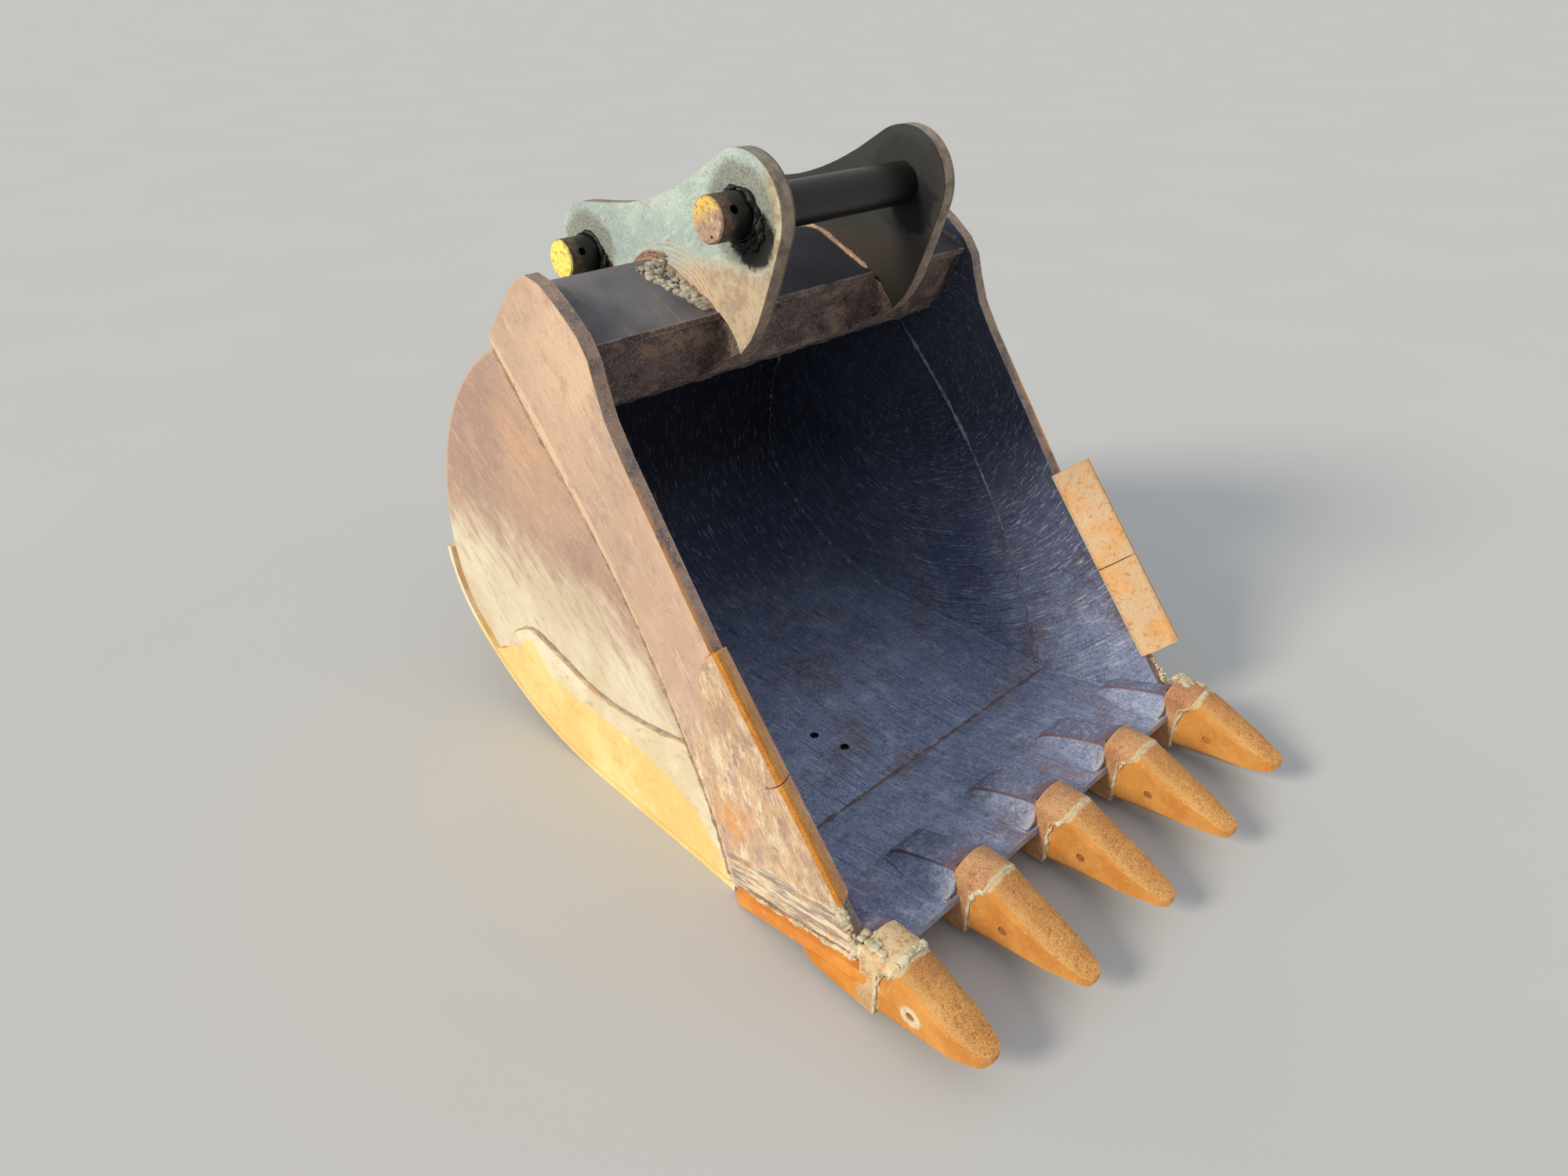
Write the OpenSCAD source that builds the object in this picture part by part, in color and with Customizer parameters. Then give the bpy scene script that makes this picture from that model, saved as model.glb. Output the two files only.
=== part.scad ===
// Digging bucket for a crawler excavator: a welded shell with teeth, side cutters, ears and two pins.
// Millimetres. X runs across the bucket, -Y is where the teeth point, Z is up and Z = 0 is the ground.
// The shell's side outline is a chain of tangent arcs, and every plate that follows it takes it from there.

/* [Shell] */
// width over the two side bars
bucket_w = 1200; // [900:10:1600]
// thickness of the front side bars
bar_t = 32; // [20:1:50]
// thickness of the side plates behind the bars
side_t = 18; // [12:1:28]
// thickness of the rolled back sheet
wrap_t = 14; // [10:1:25]
// radius of the rolled floor
floor_r = 800; // [500:10:1200]
// angle the rolled floor turns through
floor_turn = 41; // [30:1:55]
// radius of the heel bend
heel_r = 280; // [200:5:400]
// radius of the rolled back
back_r = 700; // [500:10:900]
// angle the rolled back turns through
back_turn = 60; // [45:1:65]
// straight end of the rolled back under the beam
back_run = 110; // [60:1:140]
// distance from the cutting edge to where the flat floor starts to roll
floor_end_y = 940; // [800:5:1100]
// radius of the two drain holes in the floor
drain_r = 9; // [5:0.5:15]

/* [Cutting edge] */
// thickness of the cutting edge
lip_t = 32; // [20:1:50]
// length of the cutting edge from front to back
lip_len = 402; // [250:1:500]
// distance of the cutting edge's rear end from its front end, measured along the ground
lip_rear_y = 393; // [240:1:500]
// how far each end of the cutting edge stands out past the side bar
lip_over = 20; // [5:1:40]
// tilt of the cutting edge, front end up
lip_tilt = 12; // [0:0.5:18]
// length of the slant under the cutting edge's front
lip_slant = 14; // [5:1:40]
// radius of the cutting edge's rear corners
lip_corner_r = 26; // [5:1:60]

/* [Wear parts] */
// thickness of the strips under the floor
strip_t = 18; // [10:1:30]
// width of the two outer strips
strip_out_w = 100; // [60:5:160]
// width of the two inner strips
strip_in_w = 90; // [60:5:160]
// distance of the inner strips' middles from the bucket's middle
strip_in_x = 190; // [100:5:350]
// gap between the cutting edge and the strips
strip_gap = 14; // [5:1:40]
// how far short of the heel's rearmost line the strips end, in degrees
strip_short = 4; // [0:1:30]
// thickness of the heel plates on the sides
heel_plate_t = 12; // [8:1:25]

/* [Side cutters] */
// how far a cutter's nose stands in front of the bar
cutter_nose = 70; // [30:1:90]
// how far a cutter's front edge stands out past the bar's outer face
cutter_flare = 40; // [25:1:60]
// thickness of a cutter's outer cheek
cutter_cheek_t = 20; // [10:1:24]
// depth of a cutter's outer cheek behind the bar's front line
cutter_cheek_w = 94; // [50:1:130]
// thickness and depth of the lap on the bar's inner face
cutter_lap = 5; // [2:0.5:10]
// length of the upper cutters
cutter_up_len = 272; // [150:1:320]
// length of the lower cutters
cutter_low_len = 250; // [150:1:320]
// gap at the joint between the upper and the lower cutter
cutter_gap = 3; // [1:0.5:10]

/* [Teeth] */
// distance of the outer teeth's middles from the bars' outer faces
tooth_edge = 30; // [10:1:60]
// how far the longest tooth reaches in front of the cutting edge
tooth_reach = 303; // [260:1:340]
// how much shorter each tooth has worn, from left to right
tooth_worn = [35, 4, 0, 3, 28]; // [0:1:40]
// width of a tooth at its back end
tooth_w = 98; // [70:1:120]
// width of a tooth at its tip
tooth_tip_w = 62; // [40:1:90]
// how much further back a tooth reaches at its sides than on top
tooth_cheek = 36; // [10:1:45]
// radius of a tooth's long edges
tooth_edge_r = 22; // [5:1:32]
// radius of the dome across a tooth and its collar
crown_r = 95; // [60:1:300]
// slope of a tooth's top
crown_slope = 22.3; // [15:0.1:26]
// slope of a tooth's underside
belly_slope = 10.6; // [5:0.1:16]
// radius of an unworn tooth's tip, seen from the side
tip_r = 11; // [8:0.5:20]
// width of an adapter
adapter_w = 104; // [80:1:130]
// distance that an adapter's collar reaches back over the cutting edge
collar_back = 18; // [5:1:20]
// width of an adapter's upper leg
leg_w = 86; // [60:1:110]
// height of an adapter's upper leg at the collar
leg_t = 60; // [40:1:65]
// length of an adapter's upper leg
leg_len = 206; // [150:1:300]
// thickness of an adapter's lower leg
foot_t = 30; // [15:1:32]
// length of an adapter's lower leg
foot_len = 180; // [100:1:250]
// width of an adapter's nose inside the tooth
nose_w = 56; // [40:1:64]
// clearance between nose and tooth, each side
nose_gap = 1; // [0.5:0.1:3]
// radius of a tooth's lock pin
lock_r = 10; // [6:0.5:14]
// clearance round a lock pin
lock_gap = 0.3; // [0.1:0.1:1]
// how far a lock pin's ends stay inside the tooth's sides
lock_in = 4; // [1:0.5:10]

/* [Top beam] */
// thickness of the beam's rolled top plate
beam_t = 16; // [10:1:25]
// outer radius of the beam's rolled top
beam_r = 120; // [80:5:160]
// slope of the flat part of the beam's top plate
beam_slope = 22; // [10:1:35]
// length of the flat part of the beam's top plate
beam_flat = 170; // [120:1:220]
// thickness of the beam's front plate
face_t = 16; // [10:1:25]
// height of the beam's front plate
face_h = 186; // [150:1:200]
// lean of the beam's front plate
face_lean = 26.5; // [10:0.5:40]
// thickness of the plate that closes the beam from below
under_t = 12; // [8:1:20]
// rise of that plate towards the back
under_rise = 5; // [0:1:15]

/* [Ears and pins] */
// thickness of each ear
ear_t = 36; // [25:1:60]
// distance over the outer faces of the two ears
ear_span = 512; // [380:2:640]
// radius of the ear round the arm pin
ear_arm_r = 118; // [90:1:130]
// radius of the ear round the link pin
ear_link_r = 116; // [90:1:130]
// radius of both pins
pin_r = 45; // [35:0.5:60]
// clearance between a pin and its bores
pin_gap = 0.08; // [0.02:0.01:0.1]
// length of both pins
pin_len = 676; // [560:1:800]
// chamfer on the pins' ends
pin_chamfer = 4; // [1:0.5:10]
// width of the relief grooves beside the ears
groove_w = 6; // [3:0.5:12]
// depth of the relief grooves
groove_d = 1.5; // [0.5:0.1:3]
// radius of the cross hole near a pin's outer end
keeper_r = 9; // [5:0.5:14]
// distance of the cross hole from the pin's outer end
keeper_in = 34; // [20:1:60]
// turn of the cross hole round the pin
keeper_turn = 62; // [0:1:90]
// thickness of the gussets under the ears' tails
gusset_t = 20; // [12:1:30]
// distance of the gussets' lower ends from the lower edge of the beam's front plate
gusset_low = 8; // [5:1:80]

/* [Hidden] */
$fn = 72;
big = 3000;
// gap left where the beam's welded plates meet
seam = 0.05;
half = bucket_w / 2;
inner_half = half - bar_t;
// underside and upper side of the flat floor
strip_z = strip_t;
floor_z = strip_z + wrap_t;
// centres of the three arcs, and where they end
fc = [floor_end_y, strip_z + floor_r];
hc = fc + (floor_r - heel_r) * [sin(floor_turn), -cos(floor_turn)];
bc = hc - [back_r - heel_r, 0];
back_end = 90 + back_turn;
back_dir = [cos(back_end), sin(back_end)];
back_in = [-sin(back_end), cos(back_end)];
back_top = bc + back_r * [sin(back_end), -cos(back_end)];
// the outlines below were traced with the end of the rolled back at this place, and move with it
traced_back_top = [1211.15, 1031.77];
lift = back_top - traced_back_top;
// how far the sides follow the back sheet's straight end, and their hidden corners inside the outline
side_run = 70;
side_lid = [[1000, 1000] + lift, [lip_rear_y + 10, 300]];
// the cutting edge's directions and its upper front corner
lip_dir = [cos(lip_tilt), -sin(lip_tilt)];
lip_up = [sin(lip_tilt), cos(lip_tilt)];
lip_front = [lip_rear_y, floor_z] - lip_len * lip_dir;
// the side bar: its front line from toe to knee, then its outline and the seam with the side plate
bar_slope = 49.6;
bar_dir = [cos(bar_slope), sin(bar_slope)];
bar_out = [-sin(bar_slope), cos(bar_slope)];
bar_knee = [456, 618.6];
bar_toe = bar_knee - (bar_knee - lip_front) * lip_up / (bar_dir * lip_up) * bar_dir;
bar_crown = [for (p = [[701, 943], [745, 1010], [768, 1070], [784, 1122], [812, 1160]]) p + lift];
bar_top = [for (p = [[864, 1199], [926, 1236], [976, 1245], [1030, 1219], [1156, 1086], [1150, 1068]])
    p + lift];
seam_top = [for (p = [[1094, 1009], [1003, 906], [880, 785], [760, 652]]) p + lift];
seam_low = [[648, 500], [548, 335], [470, 180], [428, 60], [424, 10]];
// the heel plate's upper edge
heel_edge = [[1700, -50], [1560, 90], [1430, 142], [1330, 190], [1290, 250], [1243, 289], [1181, 318],
    [1120, 312], [1040, 296], [945, 276], [845, 270], [748, 282], [640, 303], [540, 330], [300, 330]];
// outline of a cutter's cheek: share of its length from the top, share of its depth
cheek_form = [[0, 0], [0.1, 0.4], [0.22, 0.72], [0.36, 0.91], [0.49, 1], [0.64, 0.97], [0.79, 0.83],
    [0.92, 0.5], [1, 0]];
// where the lower cutters start
cutter_joint = cutter_up_len + cutter_gap;
// the beam: centre of its rolled top, its flat part, its front plate
beam_c = [1010, 1090] + lift;
beam_n = [-sin(beam_slope), cos(beam_slope)];
beam_d = [cos(beam_slope), sin(beam_slope)];
beam_tan = beam_c + beam_r * beam_n;
ledge_pt = beam_tan - beam_flat * beam_d;
face_low = [901, 966] + lift;
face_dir = [-sin(face_lean), cos(face_lean)];
face_in = [cos(face_lean), sin(face_lean)];
// the ears: pin centres and the outline between the two rounds
arm_c = [735, 1345] + lift;
link_c = [1265, 1178] + lift;
ear_x = ear_span / 2 - ear_t;
arm_low = 197;
arm_high = 60;
link_high = 82;
tail_tip = [742, 1065] + lift;
ear_front = [for (p = [[711, 1099], [687, 1140], [666, 1190], [643, 1250]]) p + lift];
ear_valley = [for (p = [[868, 1402], [936, 1368], [1014, 1338], [1094, 1317], [1172, 1305]]) p + lift];
ear_rear = [for (p = [[1374, 1110], [1362, 1010], [1350, 900], [1000, 1000], [880, 1080]]) p + lift];
ear_heel = [for (p = [[778, 1119], [753, 1090]]) p + lift];
// the teeth
tooth_pitch = (half - tooth_edge) / 2;
tooth_back = -60;
tooth_rear = tooth_back + tooth_cheek;
crown_z = 190;
belly_z = 22;
// the line where a tooth meets its adapter, seen from the side, from the top down
joint_line = [[tooth_back, crown_z - 14], [tooth_rear, crown_z - 50]];
// the nose's upper side from front to back, and its underside from back to front
nose_top = [[-186, 98], [-180, 104], [tooth_rear + 4, 172]];
nose_low = [[tooth_rear + 4, 40], [-180, 70], [-186, 76]];
// length of a tip's own underside, and the wear that adds a millimetre to its radius
tip_run = 110;
tip_wear = 8;
lock_c = [-108, 97];
drains = [[-121, 637], [-97, 551]];
// the drawing's Y = 0 is the cutting edge; the part's own Y = 0 is the middle of its length
mid_y = (-tooth_reach + hc[0] + max(heel_r, (heel_r + strip_t) * cos(strip_short))) / 2;

// which node to show or build

// a point on the smooth curve through b and c, between its neighbours a and d
function blend(a, b, c, d, t) =
    0.5 * (2 * b + (c - a) * t + (2 * a - 5 * b + 4 * c - d) * t * t + (3 * b - a - 3 * c + d) * t * t * t);
// a smooth curve through the points p, with n steps between neighbours
function curve(p, n) = concat([for (i = [0:len(p) - 2], k = [0:n - 1])
    blend(p[max(i - 1, 0)], p[i], p[i + 1], p[min(i + 2, len(p) - 1)], k / n)], [p[len(p) - 1]]);
// where a ray from o along d leaves the circle round c
function ray_hit(o, d, c, r) = let(m = o - c, b = m * d) o + (sqrt(b * b - m * m + r * r) - b) * d;
function on_round(c, r, a) = c + r * [cos(a), sin(a)];
// a point on the cutting edge, f behind its front corner and h above its upper side
function on_lip(f, h) = lip_front + f * lip_dir + h * lip_up;
// a point on the bar's front line, s down from the knee and n out in front
function on_bar(s, n) = bar_knee - s * bar_dir + n * bar_out;
function tooth_x(i) = (i - 3) * tooth_pitch;

module seat() { translate([0, -mid_y, 0]) children(); }
// a side view drawn in Y and Z, made t thick from x0 towards +X
module slab(x0, t) { translate([x0, 0, 0]) rotate([90, 0, 90]) linear_extrude(height = t) children(); }
// the same on the left (s = -1) or right (s = 1) side, from distance a to distance b off the middle
module side_slab(s, a, b) { slab(s > 0 ? a : -b, b - a) children(); }
module round_at(c, r) { translate(c) circle(r = r); }
// a round bar along X, from x0, t long
module bar_at(x0, t, c, r) { translate([x0, c[0], c[1]]) rotate([0, 90, 0]) cylinder(h = t, r = r); }
// a piece of a disc between the directions from a0 to a1
module sector_2d(c, r, a0, a1) {
    reach = r * 3;
    translate(c) intersection() {
        circle(r = r);
        polygon([[0, 0], reach * [cos(a0), sin(a0)], reach * [cos((a0 + a1) / 2), sin((a0 + a1) / 2)],
            reach * [cos(a1), sin(a1)]]);
    }
}

// everything inside the shell's outline, d in from its outer surface; run is the straight end's length
module shell_fill_2d(d, run, front_y, lid) {
    q1 = fc + (floor_r - d) * [sin(floor_turn), -cos(floor_turn)];
    q2 = hc + [heel_r - d, 0];
    q3 = back_top + d * back_in;
    sector_2d(fc, floor_r - d, -90, floor_turn - 90);
    sector_2d(hc, heel_r - d, floor_turn - 90, 0);
    sector_2d(bc, back_r - d, 0, back_turn);
    floor_line = [[front_y, strip_z + d], [floor_end_y, strip_z + d]];
    polygon(concat(floor_line, [q1, q2, q3, q3 + run * back_dir], lid));
}
module shell_outer_2d() {
    end = back_top + back_run * back_dir;
    shell_fill_2d(0, back_run, lip_rear_y, [end + (wrap_t + 6) * back_in, [lip_rear_y, floor_z + 6]]);
}
module shell_inner_2d() { shell_fill_2d(wrap_t, big, -big, [[-big, big]]); }
module wrapper_2d() {
    difference() {
        shell_outer_2d();
        shell_inner_2d();
    }
}
module wrapper() {
    seat() color([0.42, 0.33, 0.25]) difference() {
        slab(-inner_half, 2 * inner_half) wrapper_2d();
        for (d = drains) translate([d[0], d[1], strip_z - wrap_t]) cylinder(h = 3 * wrap_t, r = drain_r);
    }
}

// the cutting edge
module lip_2d() {
    polygon([on_lip(0, 0), on_lip(lip_len, 0), on_lip(lip_len, -lip_t), on_lip(lip_slant, -lip_t),
        on_lip(0, -0.45 * lip_t)]);
}
module lip_plan_2d() {
    w = half + lip_over;
    r = lip_corner_r;
    rear = lip_rear_y + 1;
    translate([-w, -lip_len / 2]) square([2 * w, lip_len / 2 + rear - r]);
    translate([r - w, -lip_len / 2]) square([2 * (w - r), lip_len / 2 + rear]);
    for (s = [-1, 1]) round_at([s * (w - r), rear - r], r);
}
module lip() {
    seat() color([0.35, 0.35, 0.36]) intersection() {
        slab(-half - lip_over, 2 * (half + lip_over)) lip_2d();
        translate([0, 0, -lip_t]) linear_extrude(height = lip_len) lip_plan_2d();
    }
}

// the sides
module bar_2d() {
    difference() {
        polygon(concat([bar_toe, bar_knee], bar_crown, bar_top, curve(concat(seam_top, seam_low), 3),
            [[lip_rear_y, 10], [lip_rear_y, floor_z]]));
        polygon([[bar_toe[0], -big], bar_toe, on_lip(lip_len, 0), [lip_rear_y, -big]]);
        translate([0, strip_z - big]) square([big, big]);
    }
}
module shell_side_2d() { shell_fill_2d(0, side_run, lip_rear_y, side_lid); }
// the side behind the bar's seam
module side_2d() {
    rear = seam_low[len(seam_low) - 1];
    intersection() {
        shell_side_2d();
        polygon(concat([bar_top[4], bar_top[5]], curve(concat(seam_top, seam_low), 3),
            [[rear[0], -big], [big, -big], [big, big], bar_top[4] + [0, big]]));
    }
}
module side_bar(s) { seat() color([0.5, 0.36, 0.27]) side_slab(s, inner_half, half) bar_2d(); }
module side_plate(s) {
    seat() color([0.55, 0.43, 0.32]) side_slab(s, inner_half, inner_half + side_t) side_2d();
}
module heel_plate_2d() {
    difference() {
        intersection() {
            shell_side_2d();
            polygon(concat(curve(heel_edge, 2), [[300, -50]]));
        }
        bar_2d();
    }
}
module heel_plate(s) {
    a = inner_half + side_t;
    seat() color([0.8, 0.55, 0.2]) side_slab(s, a, a + heel_plate_t) heel_plate_2d();
}

// one side cutter, from a to b down the bar's front line: nose in front of the bar, cheek outside it
module cutter(s, a, b) {
    seat() color([0.72, 0.43, 0.16]) union() {
        translate([0, bar_knee[0], bar_knee[1]]) rotate([bar_slope - 90, 0, 0]) translate([0, 0, -b])
            linear_extrude(height = b - a) nose_2d(s);
        side_slab(s, half, half + cutter_cheek_t) cheek_2d(a, b);
    }
}
// section of the nose, across the bar's front line: X away from the bucket, -Y out in front
module nose_2d(s) {
    edge = half + cutter_flare;
    cheek = half + cutter_cheek_t;
    outline = [[inner_half, 0], [inner_half, cutter_lap], [inner_half - cutter_lap, cutter_lap],
        [inner_half - cutter_lap, -cutter_lap], [inner_half + 0.38 * bar_t, -0.46 * cutter_nose],
        [half + 0.5 * cutter_flare, 3 - cutter_nose], [half + 0.74 * cutter_flare, -cutter_nose],
        [edge - 2, 3 - cutter_nose], [edge, 9 - cutter_nose], [edge, -0.62 * cutter_nose],
        [cheek, -0.14 * cutter_nose], [cheek, 0]];
    polygon([for (p = outline) [s * p[0], p[1]]]);
}
module cheek_2d(a, b) {
    polygon(concat([on_bar(b, cutter_lap), on_bar(a, cutter_lap)],
        [for (p = curve(cheek_form, 2)) on_bar(a + p[0] * (b - a), -p[1] * cutter_cheek_w)]));
}

// strips under the floor and round the heel
module strip_2d() {
    difference() {
        sector_2d(fc, floor_r + strip_t, -90, floor_turn - 90);
        round_at(fc, floor_r);
    }
    difference() {
        sector_2d(hc, heel_r + strip_t, floor_turn - 90, -strip_short);
        round_at(hc, heel_r);
    }
    translate([lip_rear_y + strip_gap, 0]) square([floor_end_y - lip_rear_y - strip_gap, strip_t]);
}
module wear_strips_outer() {
    seat() color([0.78, 0.52, 0.2]) for (s = [-1, 1]) side_slab(s, half - strip_out_w, half) strip_2d();
}
module wear_strips_inner() {
    a = strip_in_x - strip_in_w / 2;
    seat() color([0.5, 0.4, 0.3]) for (s = [-1, 1]) side_slab(s, a, a + strip_in_w) strip_2d();
}

// the beam across the top: a rolled part and a flat part that reaches into it
module beam_round_2d() { sector_2d(beam_c, beam_r, -12, 90 + beam_slope); }
module beam_top_2d() {
    in_round = on_round(beam_c, beam_r - beam_t / 2, 84 + beam_slope);
    difference() {
        union() {
            difference() {
                beam_round_2d();
                round_at(beam_c, beam_r - beam_t);
            }
            polygon([beam_tan, ledge_pt, ledge_pt - beam_t * beam_n, beam_tan - beam_t * beam_n, in_round]);
        }
        shell_outer_2d();
        past_sheet_2d();
    }
}
// everything on the inner side of the back sheet's outer line, past its end too
module past_sheet_2d() {
    far = back_top + (back_run + beam_r) * back_dir;
    polygon([back_top, far, far + beam_r * back_in, back_top + beam_r * back_in]);
}
// everything above the underside of the beam's top plate
module beam_plane_2d() {
    a = ledge_pt - (beam_t + seam) * beam_n - beam_r * beam_d;
    up = 2 * beam_r * beam_n;
    polygon([a, a + 5 * beam_r * beam_d, a + 5 * beam_r * beam_d + up, a + up]);
}
// the front plate and what is behind it, t deep
module face_2d(t) {
    top = face_low + face_h * face_dir;
    polygon([face_low, top, top + t * face_in, face_low + t * face_in]);
}
module beam_front_2d() {
    difference() {
        face_2d(face_t);
        beam_plane_2d();
    }
}
module beam_under_2d() {
    a = face_low + face_t * face_in;
    d = [cos(under_rise), sin(under_rise)];
    up = [0, under_t];
    polygon([a, ray_hit(a, d, bc, back_r - wrap_t), ray_hit(a + up, d, bc, back_r - wrap_t), a + up]);
}
module beam_top() { seat() color([0.4, 0.34, 0.27]) slab(-inner_half, 2 * inner_half) beam_top_2d(); }
module beam_front() { seat() color([0.33, 0.25, 0.2]) slab(-inner_half, 2 * inner_half) beam_front_2d(); }
module beam_under() { seat() color([0.3, 0.26, 0.24]) slab(-inner_half, 2 * inner_half) beam_under_2d(); }

// what the ears stand on
module under_ear_2d() {
    shell_outer_2d();
    beam_round_2d();
    polygon(concat([beam_tan, ledge_pt, ledge_pt - beam_t * beam_n, face_low],
        [for (p = [[920, 880], [1330, 860], [1250, 1000], [1129, 1069], [1125, 1095]]) p + lift]));
}
module ear_body_2d() {
    at_arm = [on_round(arm_c, ear_arm_r, arm_low), arm_c, on_round(arm_c, ear_arm_r, arm_high)];
    at_link = [on_round(link_c, ear_link_r, link_high), link_c, on_round(link_c, ear_link_r, 0)];
    at_ledge = [ledge_pt + 8 * beam_d - 8 * beam_n, ledge_pt + 2 * beam_n];
    outline = concat([tail_tip], ear_front, at_arm, curve(ear_valley, 3), at_link, ear_rear,
        at_ledge, ear_heel);
    difference() {
        polygon(outline);
        under_ear_2d();
    }
}
module ear(s) {
    x0 = s > 0 ? ear_x : -ear_x - ear_t;
    seat() color([0.55, 0.58, 0.54]) difference() {
        union() {
            side_slab(s, ear_x, ear_x + ear_t) ear_body_2d();
            bar_at(x0, ear_t, arm_c, ear_arm_r);
            bar_at(x0, ear_t, link_c, ear_link_r);
        }
        for (c = [arm_c, link_c]) bar_at(x0 - 1, ear_t + 2, c, pin_r + pin_gap);
    }
}
module gusset_2d() {
    difference() {
        polygon([tail_tip + [8, 2], face_low + gusset_low * face_dir, face_low + 1.1 * face_h * face_dir,
            ledge_pt]);
        face_2d(big / 10);
        beam_plane_2d();
        ear_body_2d();
    }
}
module ear_gussets() {
    a = ear_x + (ear_t - gusset_t) / 2;
    seat() color([0.36, 0.37, 0.38]) for (s = [-1, 1]) side_slab(s, a, a + gusset_t) gusset_2d();
}

// an adapter: collar and lower leg in one outline, narrower upper leg, nose inside the tooth
module body_2d() {
    difference() {
        polygon([[tooth_rear, belly_z], joint_line[1], joint_line[0], [tooth_back, crown_z + 5],
            [collar_back, crown_z + 5], on_lip(collar_back + 4, -0.55 * lip_t),
            on_lip(foot_len, -0.9 * lip_t), on_lip(foot_len, -lip_t - 0.3 * foot_t),
            on_lip(foot_len - 24, -lip_t - foot_t), [10, belly_z]]);
        lip_2d();
    }
}
module leg_2d() {
    difference() {
        polygon([[0, 110], on_lip(10, leg_t + 6), on_lip(0.16 * leg_len, 0.93 * leg_t),
            on_lip(0.5 * leg_len, 0.76 * leg_t), on_lip(0.8 * leg_len, 0.6 * leg_t),
            on_lip(0.94 * leg_len, 0.36 * leg_t), on_lip(leg_len, 0), on_lip(leg_len, -8), [0, 100]]);
        lip_2d();
    }
}
// how much lower the dome is at the start of a rounded edge than in the middle
function crown_drop(w) = crown_r - sqrt(crown_r * crown_r - pow(w / 2 - tooth_edge_r, 2));
// the section of a tooth's top: domed, with rounded long edges, its highest point at Y = 0, w wide
module crown_2d(w, deep) {
    r = tooth_edge_r;
    low = r + crown_drop(w);
    intersection() {
        union() {
            translate([-w / 2, -deep]) square([w, deep - low]);
            translate([r - w / 2, -deep]) square([w - 2 * r, deep]);
            for (s = [-1, 1]) round_at([s * (w / 2 - r), -low], r);
        }
        union() {
            round_at([0, -crown_r], crown_r);
            translate([-crown_r, -deep]) square([2 * crown_r, deep - crown_r]);
        }
    }
}
module adapter(i) {
    x = tooth_x(i);
    leg_a = i == 1 ? -inner_half : x - leg_w / 2;
    leg_b = i == 5 ? inner_half : x + leg_w / 2;
    seat() color([0.5, 0.36, 0.24]) difference() {
        union() {
            intersection() {
                slab(x - adapter_w / 2, adapter_w) body_2d();
                translate([x, big, crown_z]) rotate([90, 0, 0])
                    linear_extrude(height = 2 * big) crown_2d(adapter_w, big);
            }
            slab(leg_a, leg_b - leg_a) leg_2d();
            slab(x - nose_w / 2, nose_w) polygon(concat(nose_top, nose_low));
        }
        bar_at(x - adapter_w, 2 * adapter_w, lock_c, lock_r + lock_gap);
    }
}

// a worn tooth: side view, plan and the domed sections of its top and its underside, cut into one another
function top_z(y) = crown_z - (tooth_back - y) * tan(crown_slope);
function under_z(y) = belly_z + (tooth_rear - y) * tan(belly_slope);
// the round tip touches the line of the top, and a tangent joins it to the underside
module tooth_side_2d(tip, r) {
    c = [tip + r, top_z(tip + r) - r / cos(crown_slope)];
    back = [tip + tip_run, under_z(tip + tip_run)];
    rise = atan2(c[1] - back[1], back[0] - c[0]) - asin(r / norm(c - back));
    arc = [for (k = [0:8]) on_round(c, r, 90 + crown_slope + k * (180 - crown_slope - rise) / 8)];
    polygon(concat([[tooth_rear, 0], joint_line[1], joint_line[0], [tooth_back, 2 * crown_z],
        [arc[0][0], 2 * crown_z]], arc, [back, [back[0], 0]]));
}
module tooth_plan_2d(tip) {
    a = tooth_w / 2;
    b = tooth_tip_w / 2;
    side = [[a, tooth_rear], [a, tooth_back - 60], [0.2 * b + 0.8 * a, tooth_back - 130], [b, tip + b]];
    polygon(concat(side, [[0, tip + 0.5 * b]], [for (k = [3:-1:0]) [-side[k][0], side[k][1]]]));
}
// everything inside a tooth's plan, with its round end
module tooth_plan(tip) {
    translate([0, 0, -lip_t]) linear_extrude(height = lip_len) tooth_plan_2d(tip);
    translate([0, tip + tooth_tip_w / 2, -lip_t]) cylinder(h = lip_len, r = tooth_tip_w / 2);
}
// the pocket for the nose: the nose's outline moved out by the clearance, and past the tooth's rear
module pocket_2d() {
    polygon(concat([for (p = nose_top) p + [sign(p[0] - nose_top[1][0]) * nose_gap, nose_gap]],
        [for (p = nose_low) p + [sign(p[0] - nose_low[1][0]) * nose_gap, -nose_gap]]));
}
module tooth(i) {
    x = tooth_x(i);
    worn = tooth_worn[i - 1];
    tip = worn - tooth_reach;
    w = nose_w + 2 * nose_gap;
    seat() color([0.75, 0.48, 0.2]) difference() {
        intersection() {
            slab(x - tooth_w, 2 * tooth_w) tooth_side_2d(tip, tip_r + worn / tip_wear);
            translate([x, 0, 0]) tooth_plan(tip);
            translate([x, tooth_back, crown_z]) rotate([90 + crown_slope, 0, 0]) translate([0, 0, -crown_z])
                linear_extrude(height = 2 * tooth_reach) crown_2d(tooth_w, 2 * crown_z);
            translate([x, tooth_rear, belly_z]) rotate([90 - belly_slope, 0, 0]) translate([0, 0, -crown_z])
                linear_extrude(height = 2 * tooth_reach) rotate(180) crown_2d(tooth_w, 2 * crown_z);
        }
        slab(x - w / 2, w) pocket_2d();
        bar_at(x - tooth_w, 2 * tooth_w, lock_c, lock_r + lock_gap);
    }
}
module tooth_locks() {
    a = tooth_w / 2 - lock_in;
    seat() color([0.6, 0.42, 0.24]) for (i = [1:5]) bar_at(tooth_x(i) - a, 2 * a, lock_c, lock_r);
}

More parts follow.
